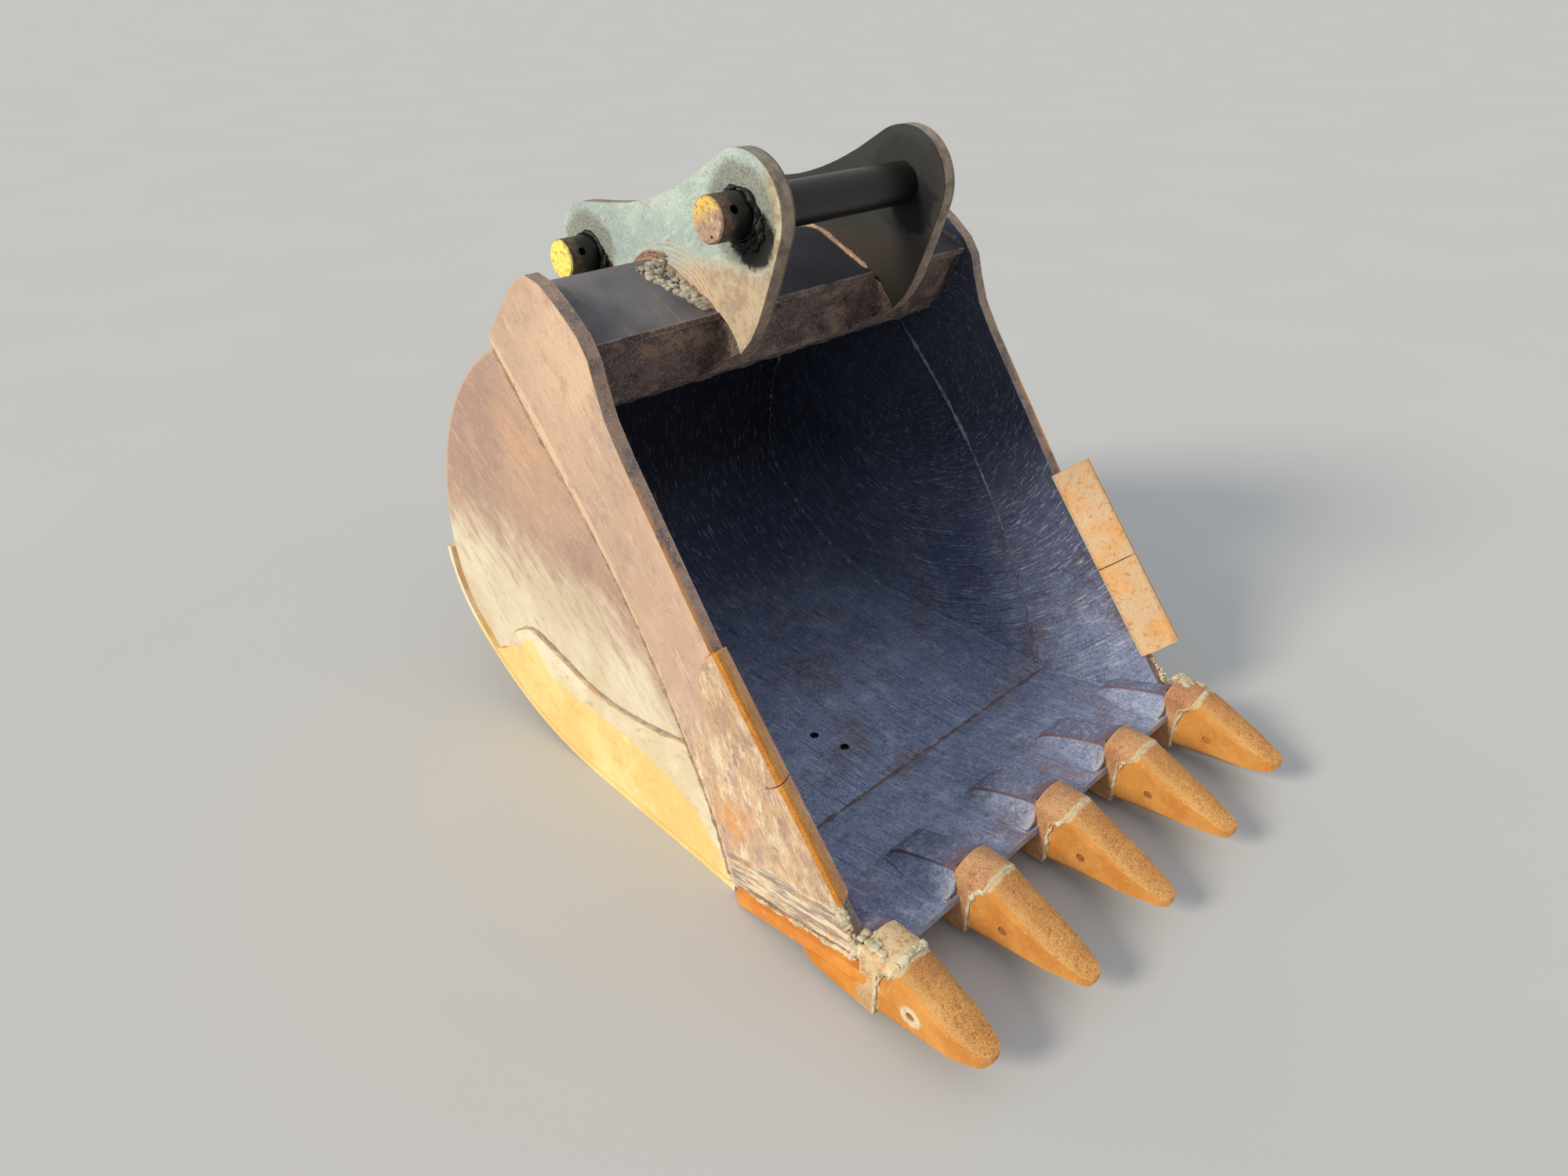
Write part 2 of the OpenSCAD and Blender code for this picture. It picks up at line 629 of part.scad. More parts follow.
// a pin drawn from its outer end, with a cross hole and a relief groove beside each ear
module pin_at(c) {
    g1 = (pin_len - ear_span) / 2 + ear_t;
    g2 = pin_len - g1 - groove_w;
    low = pin_r - groove_d;
    translate([-pin_len / 2, c[0], c[1]]) difference() {
        rotate([0, 90, 0]) rotate_extrude() polygon([[0, 0], [pin_r - pin_chamfer, 0], [pin_r, pin_chamfer],
            [pin_r, g1], [low, g1], [low, g1 + groove_w], [pin_r, g1 + groove_w],
            [pin_r, g2], [low, g2], [low, g2 + groove_w], [pin_r, g2 + groove_w],
            [pin_r, pin_len - pin_chamfer], [pin_r - pin_chamfer, pin_len], [0, pin_len]]);
        translate([keeper_in, 0, 0]) rotate([keeper_turn, 0, 0])
            cylinder(h = 4 * pin_r, r = keeper_r, center = true);
    }
}

module side_plate_left() side_plate(-1);
module side_plate_right() side_plate(1);
module side_bar_left() side_bar(-1);
module side_bar_right() side_bar(1);
module cutter_upper_left() cutter(-1, 0, cutter_up_len);
module cutter_lower_left() cutter(-1, cutter_joint, cutter_joint + cutter_low_len);
module cutter_upper_right() cutter(1, 0, cutter_up_len);
module cutter_lower_right() cutter(1, cutter_joint, cutter_joint + cutter_low_len);
module heel_plate_left() heel_plate(-1);
module heel_plate_right() heel_plate(1);
module ear_left() ear(-1);
module ear_right() ear(1);
module adapter_1() adapter(1);
module adapter_2() adapter(2);
module adapter_3() adapter(3);
module adapter_4() adapter(4);
module adapter_5() adapter(5);
module tooth_1() tooth(1);
module tooth_2() tooth(2);
module tooth_3() tooth(3);
module tooth_4() tooth(4);
module tooth_5() tooth(5);
module arm_pin() { seat() color([0.45, 0.3, 0.2]) pin_at(arm_c); }
module link_pin() { seat() color([0.45, 0.3, 0.2]) pin_at(link_c); }

wrapper();
lip();
side_plate_left();
side_plate_right();
side_bar_left();
side_bar_right();
cutter_upper_left();
cutter_lower_left();
cutter_upper_right();
cutter_lower_right();
heel_plate_left();
heel_plate_right();
wear_strips_outer();
wear_strips_inner();
beam_top();
beam_front();
beam_under();
ear_left();
ear_right();
ear_gussets();
adapter_1();
adapter_2();
adapter_3();
adapter_4();
adapter_5();
tooth_1();
tooth_2();
tooth_3();
tooth_4();
tooth_5();
tooth_locks();
arm_pin();
link_pin();
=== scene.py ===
"""Looks for the digging bucket: studio, materials, welds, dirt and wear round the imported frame."""
import math
import random

import bmesh
import bpy
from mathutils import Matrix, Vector, noise


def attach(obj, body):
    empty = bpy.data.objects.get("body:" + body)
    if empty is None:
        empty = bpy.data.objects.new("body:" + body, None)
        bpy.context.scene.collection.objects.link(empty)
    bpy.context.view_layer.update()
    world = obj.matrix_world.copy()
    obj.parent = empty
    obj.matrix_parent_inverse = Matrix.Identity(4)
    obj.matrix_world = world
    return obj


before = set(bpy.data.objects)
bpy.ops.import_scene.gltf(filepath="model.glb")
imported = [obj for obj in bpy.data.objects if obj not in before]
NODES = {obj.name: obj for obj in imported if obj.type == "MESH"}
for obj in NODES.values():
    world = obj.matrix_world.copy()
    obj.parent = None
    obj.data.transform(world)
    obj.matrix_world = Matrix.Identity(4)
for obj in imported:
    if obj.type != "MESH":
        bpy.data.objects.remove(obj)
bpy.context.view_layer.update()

noise.seed_set(7)       # noise_vector would else take its offsets from the clock
scene = bpy.context.scene
MID = 0.63771           # the drawing's Y = 0 is the cutting edge; the part's is MID further back
HALF = 0.6              # half the bucket's width over its side bars
LIP_TILT = math.radians(12)
COS_T, SIN_T = math.cos(LIP_TILT), math.sin(LIP_TILT)
# the drawing's Y and Z in millimetres: middles and radii of the floor's, the heel's and the back's arcs
FC, HC, BC = (940, 818), (1281.15, 425.55), (861.15, 425.55)
FLOOR_R, HEEL_R, BACK_R = 800, 280, 700
WRAP = 14               # thickness of the rolled sheet
BACK_RUN = 110          # length of the back sheet's straight end
LIP_REAR = (393, 32)    # rear end of the cutting edge's upper side
LIP_RUN = 402
LIP_FRONT = (LIP_REAR[0] - LIP_RUN * COS_T, LIP_REAR[1] + LIP_RUN * SIN_T)
ARM, LINK = (735, 1345), (1265, 1178)       # the two hinge pins
LOCK = (-108, 97)       # the lock pin of a tooth
DRAINS = ((-0.121, 637), (-0.097, 551))     # drain holes: x in metres, and the drawing's Y
JOINT_Y, JOINT_Z, JOINT_RUN = -60, 176, 36  # the joint of a tooth on top, and how far it slants back below


def srgb(*shown):
    """A colour as it shows, 0 to 255, as the linear colour that a socket takes."""
    return tuple(v / 255 / 12.92 if v < 10.3 else ((v / 255 + 0.055) / 1.055) ** 2.4 for v in shown) + (1.0,)


def circle_through(a, b, c):
    """Middle, in the drawing's millimetres, and radius, in metres, of the circle through three points."""
    (ax, ay), (bx, by), (cx, cy) = a, b, c
    d = 2 * (ax * (by - cy) + bx * (cy - ay) + cx * (ay - by))
    sa, sb, sc = ax * ax + ay * ay, bx * bx + by * by, cx * cx + cy * cy
    x = (sa * (by - cy) + sb * (cy - ay) + sc * (ay - by)) / d
    y = (sa * (cx - bx) + sb * (ax - cx) + sc * (bx - ax)) / d
    return (x, y), math.dist((x, y), a) / 1000


# the seam between side bar and side plate, close enough for the painted shadow beside it on the plate and the
# painted highlight on the bar's edge
SEAM_C, SEAM_R = circle_through((1150, 1068), (760, 652), (440, 90))


def at(y, z, x=0.0):
    """A point of the drawing, in millimetres, as a place in the part's frame."""
    return Vector((x, y / 1000 - MID, z / 1000))


# Materials
class Mat:
    """A node material built line by line; every coordinate is the object's own, in metres."""

    def __init__(self, name, rough=0.75, level=0.35):
        self.m = bpy.data.materials.new(name)
        self.m.use_nodes = True
        self.t = self.m.node_tree
        self.shader = self.t.nodes["Principled BSDF"]
        self.shader.inputs["Roughness"].default_value = rough
        self.shader.inputs["Specular IOR Level"].default_value = level
        self.pos = self.add("ShaderNodeTexCoord").outputs["Object"]
        self.x, self.y, self.z = self.add("ShaderNodeSeparateXYZ", self.pos).outputs
        self.normal = self.add("ShaderNodeNewGeometry").outputs["Normal"]
        self.nx, self.ny, self.nz = self.add("ShaderNodeSeparateXYZ", self.normal).outputs
        self.wide = self.math("ABSOLUTE", self.x)
        self.side = self.math("ABSOLUTE", self.nx)
        self.back = self.along(1, 0)        # how far behind the cutting edge's front

    def add(self, kind, *values, **props):
        n = self.t.nodes.new(kind)
        for k, v in props.items():
            setattr(n, k, v)
        for i, v in enumerate(values):
            self.put(n.inputs[i], v)
        return n

    def put(self, socket, v):
        if isinstance(v, bpy.types.NodeSocket):
            self.t.links.new(v, socket)
        elif v is not None:
            socket.default_value = v

    def tune(self, n, **values):
        for k, v in values.items():
            n.inputs[k].default_value = v

    def math(self, op, a, b=None):
        return self.add("ShaderNodeMath", a, b, operation=op).outputs[0]

    def sum(self, *values):
        total = values[0]
        for v in values[1:]:
            total = self.math("ADD", total, v)
        return total

    def mul(self, *values):
        total = values[0]
        for v in values[1:]:
            total = self.math("MULTIPLY", total, v)
        return total

    def inv(self, a):
        return self.math("SUBTRACT", 1.0, a)

    def most(self, a, b):
        return self.math("MAXIMUM", a, b)

    def step(self, v, lo, hi, a=0.0, b=1.0):
        """Smooth step from a to b as v goes from lo to hi; lo may be above hi."""
        if lo > hi:
            lo, hi, a, b = hi, lo, b, a
        return self.add("ShaderNodeMapRange", v, lo, hi, a, b, interpolation_type="SMOOTHSTEP").outputs[0]

    def noise(self, scale, detail=4, rough=0.6, by=(1, 1, 1), turn=0.0, shift=(0, 0, 0)):
        """Noise of scale grains to a metre, times the factors in by along axes turned round X."""
        p = self.pos
        if turn or tuple(by) != (1, 1, 1) or tuple(shift) != (0, 0, 0):
            m = self.add("ShaderNodeMapping", p, vector_type="TEXTURE")
            self.tune(m, Rotation=(turn, 0, 0), Scale=[1 / k for k in by], Location=shift)
            p = m.outputs[0]
        return self.texture(p, scale, detail, rough)

    def texture(self, p, scale, detail, rough):
        n = self.add("ShaderNodeTexNoise", p)
        self.tune(n, Scale=scale, Detail=detail, Roughness=rough)
        return n.outputs[0]

    def swirl(self, fine, long, detail=3, rough=0.6, turn=0.0):
        """Noise in strokes that follow the rolled shell: fine across them, long along them."""
        y = self.math("SUBTRACT", self.y, at(*FC).y)
        z = self.math("SUBTRACT", self.z, at(*FC).z)
        angle = self.sum(self.math("ARCTAN2", z, y), self.mul(self.x, turn))
        # x parts the strokes on the rolled sheet, the distance from the roll's middle on the side sheets
        outward = self.mul(self.far(FC), fine, self.side)
        around = self.mul(angle, long * FLOOR_R / 1000)
        p = self.add("ShaderNodeCombineXYZ", self.mul(self.x, fine), outward, around)
        return self.texture(p.outputs[0], 1.0, detail, rough)

    def mix(self, f, a, b):
        """From a to b by the factor f; a colour is a socket, or how it shows, 0 to 255."""
        n = self.add("ShaderNodeMix", data_type="RGBA")
        self.put(n.inputs[0], f)
        for i, v in ((6, a), (7, b)):
            self.put(n.inputs[i], srgb(*v) if isinstance(v, tuple) else v)
        return n.outputs[2]

    def blend(self, v, lo, hi, a, b):
        """From a to b as v goes from lo to hi."""
        return self.mix(self.step(v, lo, hi), a, b)

    def lay(self, c, colour, *masks):
        """Lays colour over c by the product of the masks."""
        return self.mix(self.mul(*masks), c, colour)

    def coat(self, c, mask, lo, hi, amount, colour):
        """Lays colour over c where mask goes from lo to hi."""
        return self.lay(c, colour, self.step(mask, lo, hi), amount)

    def coats(self, c, *layers):
        """Several coats, each a mask, its range, how much and which colour."""
        for layer in layers:
            c = self.coat(c, *layer)
        return c

    def swing(self, n, k):
        """The noise n about its middle, k times."""
        return self.mul(self.math("SUBTRACT", n, 0.5), k)

    def far(self, c):
        """Distance from a line along X through the drawing's point c."""
        a = self.math("SUBTRACT", self.y, at(*c).y)
        b = self.math("SUBTRACT", self.z, at(*c).z)
        return self.math("SQRT", self.sum(self.mul(a, a), self.mul(b, b)))

    def near(self, y, z, x, r):
        """1 within r of a point of the drawing, x in metres."""
        d = self.add("ShaderNodeVectorMath", self.pos, tuple(at(y, z, x)), operation="DISTANCE")
        return self.step(d.outputs["Value"], r * 1.15, r * 0.8)

    def patch(self, c, r, warp, reach=0.1, soft=0.03):
        """1 within r of the drawing's point c, its edge moved by the noise warp."""
        d = self.sum(self.far(c), self.swing(warp, reach))
        return self.step(d, r + soft, r - soft)

    def along(self, a, b, c=0.0):
        """a y + b z + c, y and z in the drawing's metres."""
        return self.sum(self.mul(self.y, a), self.mul(self.z, b), c + a * MID)

    def above_lip(self):
        """Height over the plane of the cutting edge's upper side."""
        return self.along(SIN_T, COS_T, -(SIN_T * LIP_FRONT[0] + COS_T * LIP_FRONT[1]) / 1000)

    def falling(self, y0, high, drop, run):
        """Height over a line that stands high at the rear and falls by drop towards y0 in front."""
        fall = self.math("EXPONENT", self.along(-1 / run, 0.0, y0 / run))
        return self.sum(self.z, -high, self.mul(fall, drop))

    def edges(self, r=0.006):
        """1 on sharp edges, by how far the rounded normal turns from the real one."""
        b = self.add("ShaderNodeBevel", samples=4)
        self.tune(b, Radius=r)
        d = self.add("ShaderNodeVectorMath", b.outputs[0], self.normal, operation="DOT_PRODUCT")
        return self.step(d.outputs["Value"], 0.97, 0.8)

    def bump(self, distance, strength, *heights):
        """A bump from several noises, each with its weight."""
        b = self.add("ShaderNodeBump")
        self.tune(b, Strength=strength, Distance=distance)
        self.put(b.inputs["Height"], self.sum(*(self.mul(n, k) for n, k in heights)))
        self.t.links.new(b.outputs[0], self.shader.inputs["Normal"])

    def done(self, colour, rough=None):
        self.t.links.new(colour, self.shader.inputs["Base Color"])
        if rough is not None:
            self.put(self.shader.inputs["Roughness"], rough)
        return self.m


BAR_TURN = math.radians(49.6)       # the way the side bars lean
HOLLOW_Y, HOLLOW_Z = 0.31, 0.55     # a place in the bucket's hollow; rolled faces turned from it are outer


def inner_steel(name, dark=1.0):
    """Worn blue-grey steel, dashed as it digs, near black far up inside as dark stained steel and painted
    shade: material, colour and roughness.
    """
    m = Mat(name, rough=0.62, level=0.4)
    big, mid, fine = m.noise(3.3, 5), m.noise(21, 6, 0.72), m.noise(260, 3, 0.75)
    salt = m.noise(620, 2, 0.8, shift=(2, 1, 0))
    mottle = m.noise(95, 4, 0.8, shift=(1, 3, 1))
    c = m.blend(big, 0.36, 0.64, (140, 148, 176), (118, 128, 160))
    c = m.coats(
        c, (mid, 0.5, 0.7, 0.8, (176, 182, 202)), (mid, 0.47, 0.32, 0.75, (88, 93, 122)),
        (m.noise(6.0, 5, 0.7, shift=(5, 0, 1)), 0.5, 0.64, 0.65, (120, 98, 100)),
        (mottle, 0.54, 0.64, 0.5, (182, 188, 206)), (mottle, 0.46, 0.36, 0.6, (78, 84, 114)),
        (fine, 0.54, 0.66, 0.6, (196, 200, 212)), (fine, 0.47, 0.36, 0.6, (76, 82, 110)),
        (salt, 0.6, 0.7, 0.7, (222, 224, 226)))
    # far up inside the colour goes near black: dark stained steel, and painted shade of the deep hollow; dark
    # scales it
    depth = m.sum(m.along(0.35, 1.0), m.swing(big, 0.12))
    c = m.coats(
        c, (depth, 0.22, 0.62, 0.9 * dark, (40, 47, 76)), (depth, 0.56, 0.98, 0.93 * dark, (13, 14, 28)))
    dash, dash2 = m.swirl(300, 16, 3, 0.65), m.swirl(190, 9, 4, 0.7, turn=0.5)
    marks = m.most(m.step(dash, 0.6, 0.66), m.mul(m.step(dash2, 0.6, 0.68), 0.8))
    c = m.lay(c, (204, 210, 228), marks, m.step(depth, 1.2, 0.3, 0.24, 0.78))
    c = m.lay(c, (34, 39, 64), m.step(m.swirl(150, 5, 4, 0.7), 0.46, 0.36), 0.5)
    c = m.lay(c, (168, 164, 164), m.edges(0.006), 0.5)
    m.bump(0.0016, 0.5, (dash, 0.5), (mid, 0.8), (fine, 0.4))
    return m, c, m.step(mid, 0.3, 0.7, 0.5, 0.76)


def dusty_flanks():
    """The adapters' shoulders: like the cutting edge, with pale dust at the foot in front."""
    m, c, r = inner_steel("flank_steel")
    n = m.noise(22, 6, 0.75, shift=(6, 2, 2))
    c = m.coat(c, m.noise(60, 5, 0.75, shift=(0, 2, 6)), 0.52, 0.62, 0.5, (176, 182, 194))
    front = m.step(m.sum(m.back, m.swing(n, 0.1)), 0.036, 0.012)
    return m.done(m.lay(c, (190, 182, 164), front, m.step(n, 0.4, 0.6), 0.6), r)


def shell_steel():
    """The rolled back: worn steel inside, scraped rust outside, the drain holes' rims in painted shade."""
    m, c, r = inner_steel("shell_steel")
    rear, up = m.math("SUBTRACT", m.y, HOLLOW_Y), m.math("SUBTRACT", m.z, HOLLOW_Z)
    out = m.sum(m.mul(m.ny, rear), m.mul(m.nz, up))
    out = m.most(m.step(out, -0.02, 0.02), m.step(m.side, 0.5, 0.6))
    n1, n2, n3 = m.noise(3.7, 6, 0.62, shift=(2, 2, 2)), m.noise(24, 6, 0.7), m.noise(280, 3, 0.75)
    rust = m.blend(n1, 0.38, 0.62, (150, 118, 98), (182, 146, 114))
    rust = m.coats(
        rust, (n2, 0.52, 0.7, 0.7, (112, 84, 70)),
        (m.swirl(60, 1.6, 4, 0.7), 0.55, 0.68, 0.6, (210, 188, 154)),
        (m.swirl(120, 3, 4, 0.7), 0.44, 0.34, 0.5, (98, 74, 62)), (n3, 0.58, 0.72, 0.5, (92, 66, 50)),
        (m.z, 0.36, 0.05, 0.75, (216, 192, 152)))
    c = m.mix(out, c, rust)
    # the drain holes' rims painted near black: painted shade in the holes
    for x, y in DRAINS:
        c = m.lay(c, (14, 14, 18), m.near(y, 32, x, 0.0125))
    return m.done(c, r)


def orange_dirt(m, warp, fine):
    """Fresh rust and yellow dirt as on the cutting edge's ends."""
    c = m.blend(warp, 0.36, 0.62, (226, 150, 66), (212, 128, 48))
    c = m.coat(c, warp, 0.6, 0.72, 0.7, (224, 194, 142))
    return m.coat(c, fine, 0.56, 0.72, 0.45, (160, 96, 40))


def lip_steel():
    """The cutting edge: like the floor above, orange on its ends, cream and rust underneath."""
    m, c, r = inner_steel("lip_steel")
    n2, n3 = m.noise(13, 6, 0.7, shift=(1, 4, 2)), m.noise(190, 4, 0.75)
    brown = m.step(m.noise(8, 5, 0.7, shift=(3, 3, 0)), 0.5, 0.66)
    c = m.lay(c, (132, 102, 98), brown, m.step(m.back, 0.28, 0.1), 0.6)
    under = m.blend(n2, 0.38, 0.62, (196, 156, 104), (214, 196, 156))
    under = m.coat(under, n3, 0.55, 0.7, 0.6, (146, 102, 62))
    c = m.blend(m.nz, -0.2, -0.5, c, under)
    ends = m.most(m.step(m.wide, 0.601, 0.606), m.step(m.side, 0.5, 0.7))
    c = m.mix(ends, c, orange_dirt(m, n2, n3))
    front = m.mul(m.step(m.back, 0.02, -0.004), m.step(n2, 0.38, 0.6), m.step(m.wide, 0.6, 0.58))
    c = m.lay(c, (176, 160, 138), front, 0.6)
    return m.done(c, r)


def scuffs(m, c, turn, fine, pale, dark, amount):
    """Scratches one way over worn steel, pale and dark, and a fine grain: the colour and the strokes."""
    strokes = m.noise(120, 4, 0.75, by=(1, 0.1, 1), turn=turn)
    wide = m.noise(44, 5, 0.75, by=(1, 0.14, 1), turn=turn + 0.12, shift=(1, 0, 2))
    c = m.coats(
        c, (strokes, 0.56, 0.68, amount, pale), (wide, 0.58, 0.68, amount * 0.8, pale),
        (strokes, 0.45, 0.34, amount * 0.7, dark), (fine, 0.53, 0.68, 0.34, pale),
        (fine, 0.48, 0.34, 0.42, dark))
    return c, strokes


def outer_side(name):
    """Side sheet: inside like the floor; outside mauve rust above, worn to cream low at the back, with a
    painted shadow beside the seam.
    """
    m, inside, r = inner_steel(name, 0.72)
    n1, n2, n3 = m.noise(2.6, 6, 0.6), m.noise(9, 6, 0.68, shift=(2, 0, 3)), m.noise(30, 6, 0.72)
    fine = m.noise(300, 3, 0.8)
    c = m.blend(n1, 0.36, 0.62, (190, 155, 132), (168, 138, 122))
    c = m.coats(
        c, (n2, 0.5, 0.7, 0.55, (160, 128, 114)), (n2, 0.45, 0.3, 0.45, (206, 174, 144)),
        (n3, 0.52, 0.7, 0.3, (146, 116, 102)))
    brush = m.noise(30, 6, 0.75, by=(1, 0.22, 1), turn=BAR_TURN - 0.2)
    glow = m.mul(m.patch((1105, 860), 0.085, n2, 0.2, 0.12), m.step(brush, 0.34, 0.66), 0.5)
    c = m.mix(glow, c, (224, 168, 116))
    c, strokes = scuffs(m, c, BAR_TURN - 0.35, fine, (222, 194, 164), (134, 104, 92), 0.42)
    pale = m.sum(m.falling(0.513, 0.545, 0.27, 0.17), m.swing(n2, 0.2), m.swing(brush, 0.42))
    pale = m.step(pale, 0.1, -0.12)
    worn = m.blend(n1, 0.4, 0.6, (226, 214, 184), (212, 194, 162))
    worn = m.coat(worn, brush, 0.52, 0.66, 0.6, (196, 166, 136))
    scratched = m.noise(70, 5, 0.75, by=(1, 0.2, 1), turn=BAR_TURN - 0.2)
    worn = m.coats(
        worn, (scratched, 0.54, 0.66, 0.5, (176, 146, 118)), (fine, 0.54, 0.7, 0.35, (196, 164, 126)))
    c = m.lay(c, worn, pale, 0.93)
    rim = m.step(m.far(BC), 0.69, 0.699)
    c = m.lay(c, (214, 182, 142), rim, m.step(m.z, 0.42, 0.5), 0.6)
    # beside the seam a dark band on the plate: painted shadow of the bar's edge, with dirt; it fades out low
    # down
    beside = m.math("ABSOLUTE", m.sum(m.far(SEAM_C), -SEAM_R))
    c = m.lay(c, (140, 108, 92), m.step(beside, 0.034, 0.012), m.step(n3, 0.36, 0.56),
              m.step(m.z, 0.36, 0.6, 0.0, 0.6))
    c = m.blend(m.wide, 0.57, 0.576, inside, c)
    m.bump(0.0018, 0.5, (n3, 0.9), (strokes, 0.5), (fine, 0.4))
    return m.done(c, m.step(n2, 0.3, 0.7, 0.55, 0.8))


def worn_low(m, n1, n2, strokes):
    """Cream, orange and grey-brown scuffs, as low on the bars and on the cutters' cheeks."""
    c = m.blend(n1, 0.38, 0.62, (216, 182, 144), (194, 160, 134))
    c = m.coats(c, (n2, 0.5, 0.62, 0.7, (164, 142, 132)), (n2, 0.45, 0.34, 0.7, (236, 176, 108)))
    scribble = m.noise(34, 6, 0.8, by=(1, 0.35, 1), turn=BAR_TURN + 0.5, shift=(4, 1, 2))
    c = m.coat(c, scribble, 0.5, 0.6, 0.75, (238, 222, 190))
    hairs = m.noise(110, 4, 0.8, by=(1, 0.25, 1), turn=BAR_TURN + 0.1, shift=(2, 2, 5))
    c = m.coat(c, hairs, 0.54, 0.64, 0.55, (142, 124, 116))
    return m.coat(c, strokes, 0.54, 0.64, 0.5, (240, 226, 196))


def bar_steel(name):
    """Front side bars: mauve brown, the front edge painted dark as chipped steel and painted shade, a painted
    highlight on the rear edge by the seam, scuffed cream and orange low down.
    """
    m, inside, r = inner_steel(name, 0.72)
    n1, n2, n3 = m.noise(3.3, 6, 0.62, shift=(4, 1, 0)), m.noise(13, 6, 0.7), m.noise(44, 6, 0.72)
    fine = m.noise(320, 3, 0.8)
    c = m.blend(n1, 0.35, 0.62, (218, 184, 152), (196, 162, 138))
    c = m.coats(
        c, (n2, 0.5, 0.68, 0.6, (168, 138, 124)), (n3, 0.54, 0.7, 0.35, (146, 118, 108)),
        (m.noise(20, 6, 0.75, by=(1, 0.25, 1), turn=BAR_TURN), 0.56, 0.66, 0.5, (232, 202, 162)))
    c, strokes = scuffs(m, c, BAR_TURN, fine, (232, 208, 176), (130, 104, 94), 0.45)
    low = m.sum(m.z, m.swing(n1, 0.3))
    c = m.blend(low, 0.54, 0.34, c, worn_low(m, n2, n3, strokes))
    c = m.lay(c, (216, 150, 84), m.patch((408, 215), 0.055, n2, 0.2, 0.05), m.step(n3, 0.34, 0.56), 0.8)
    over = m.sum(m.above_lip(), m.swing(n2, 0.08))
    foot = m.mul(m.step(over, 0.1, 0.082), m.step(m.back, 0.46, 0.41))
    scratched = m.mix(m.step(m.noise(60, 5, 0.75, by=(1, 0.12, 1), turn=-0.21), 0.44, 0.58),
                      (146, 132, 122), (228, 212, 178))
    c = m.lay(c, scratched, foot, 0.9)
    c = m.lay(c, (228, 168, 96), foot, m.step(n3, 0.54, 0.64), 0.7)
    # the front edge faces painted dark: chipped steel, and painted shade of faces turned from the light
    rim = m.step(m.side, 0.72, 0.45)
    edge = m.blend(n2, 0.36, 0.6, (96, 86, 90), (150, 124, 108))
    edge = m.coats(edge, (n3, 0.54, 0.64, 0.6, (76, 68, 72)), (fine, 0.54, 0.64, 0.7, (206, 180, 150)))
    outer = m.mul(m.step(m.wide, 0.586, 0.596), m.step(m.z, 1.0, 0.8))
    edge = m.lay(edge, (206, 142, 78), outer, m.step(n2, 0.36, 0.5), 0.85)
    c = m.mix(rim, c, edge)
    c = m.lay(c, (222, 178, 126), m.edges(0.006), m.step(n3, 0.42, 0.56), 0.7)
    # a pale line on the bar's rear edge by the seam: painted highlight
    beside = m.math("ABSOLUTE", m.sum(m.far(SEAM_C), -SEAM_R))
    c = m.lay(c, (230, 200, 160), m.step(beside, 0.016, 0.006), m.step(n3, 0.34, 0.5), 0.6)
    c = m.mix(m.most(m.step(m.wide, 0.5705, 0.574), rim), inside, c)
    m.bump(0.002, 0.6, (strokes, 0.6), (n3, 0.9), (fine, 0.5))
    return m.done(c, m.step(n2, 0.3, 0.7, 0.58, 0.84))


def rust_cast(name, light, mid, dark, pale, edge=0.35):
    """Cast wear part, coarse grainy rust: the material, its colour and three noises, to add dirt to."""
    m = Mat(name, rough=0.85, level=0.25)
    n1, n2, n3 = m.noise(12, 6, 0.65), m.noise(70, 5, 0.75, shift=(1, 2, 3)), m.noise(330, 3, 0.85)
    c = m.blend(n1, 0.36, 0.64, light, mid)
    c = m.coats(c, (n2, 0.5, 0.68, 0.6, dark), (n3, 0.52, 0.66, 0.75, dark), (n3, 0.47, 0.34, 0.7, pale))
    c = m.lay(c, pale, m.edges(0.01), edge)
    m.bump(0.003, 0.85, (n1, 0.8), (n2, 0.7), (n3, 0.8))
    return m, c, n1, n2, n3


def joint_dirt(m, n2, behind, before):
    """1 in the crust that fills the joint between tooth and adapter, down its slant and its cheeks."""
    high = m.step(m.z, (JOINT_Z - JOINT_RUN) / 1000, JOINT_Z / 1000,
                  (JOINT_Y + JOINT_RUN) / 1000, JOINT_Y / 1000)
    d = m.sum(m.back, m.mul(high, -1.0), m.swing(n2, 0.02))
    low = m.mul(m.step(m.z, 0.15, 0.178, 0.35, 1.0), m.step(m.x, -0.52, -0.5, 1.0, 0.5))
    crumbled = m.most(m.step(n2, 0.38, 0.52), m.step(m.z, 0.15, 0.178, 0.0, 0.8))
    front = m.step(m.sum(d, m.mul(low, before)), -0.004, 0.0)
    return m.mul(front, m.step(m.sum(d, m.mul(low, -behind)), 0.004, 0.0), crumbled)


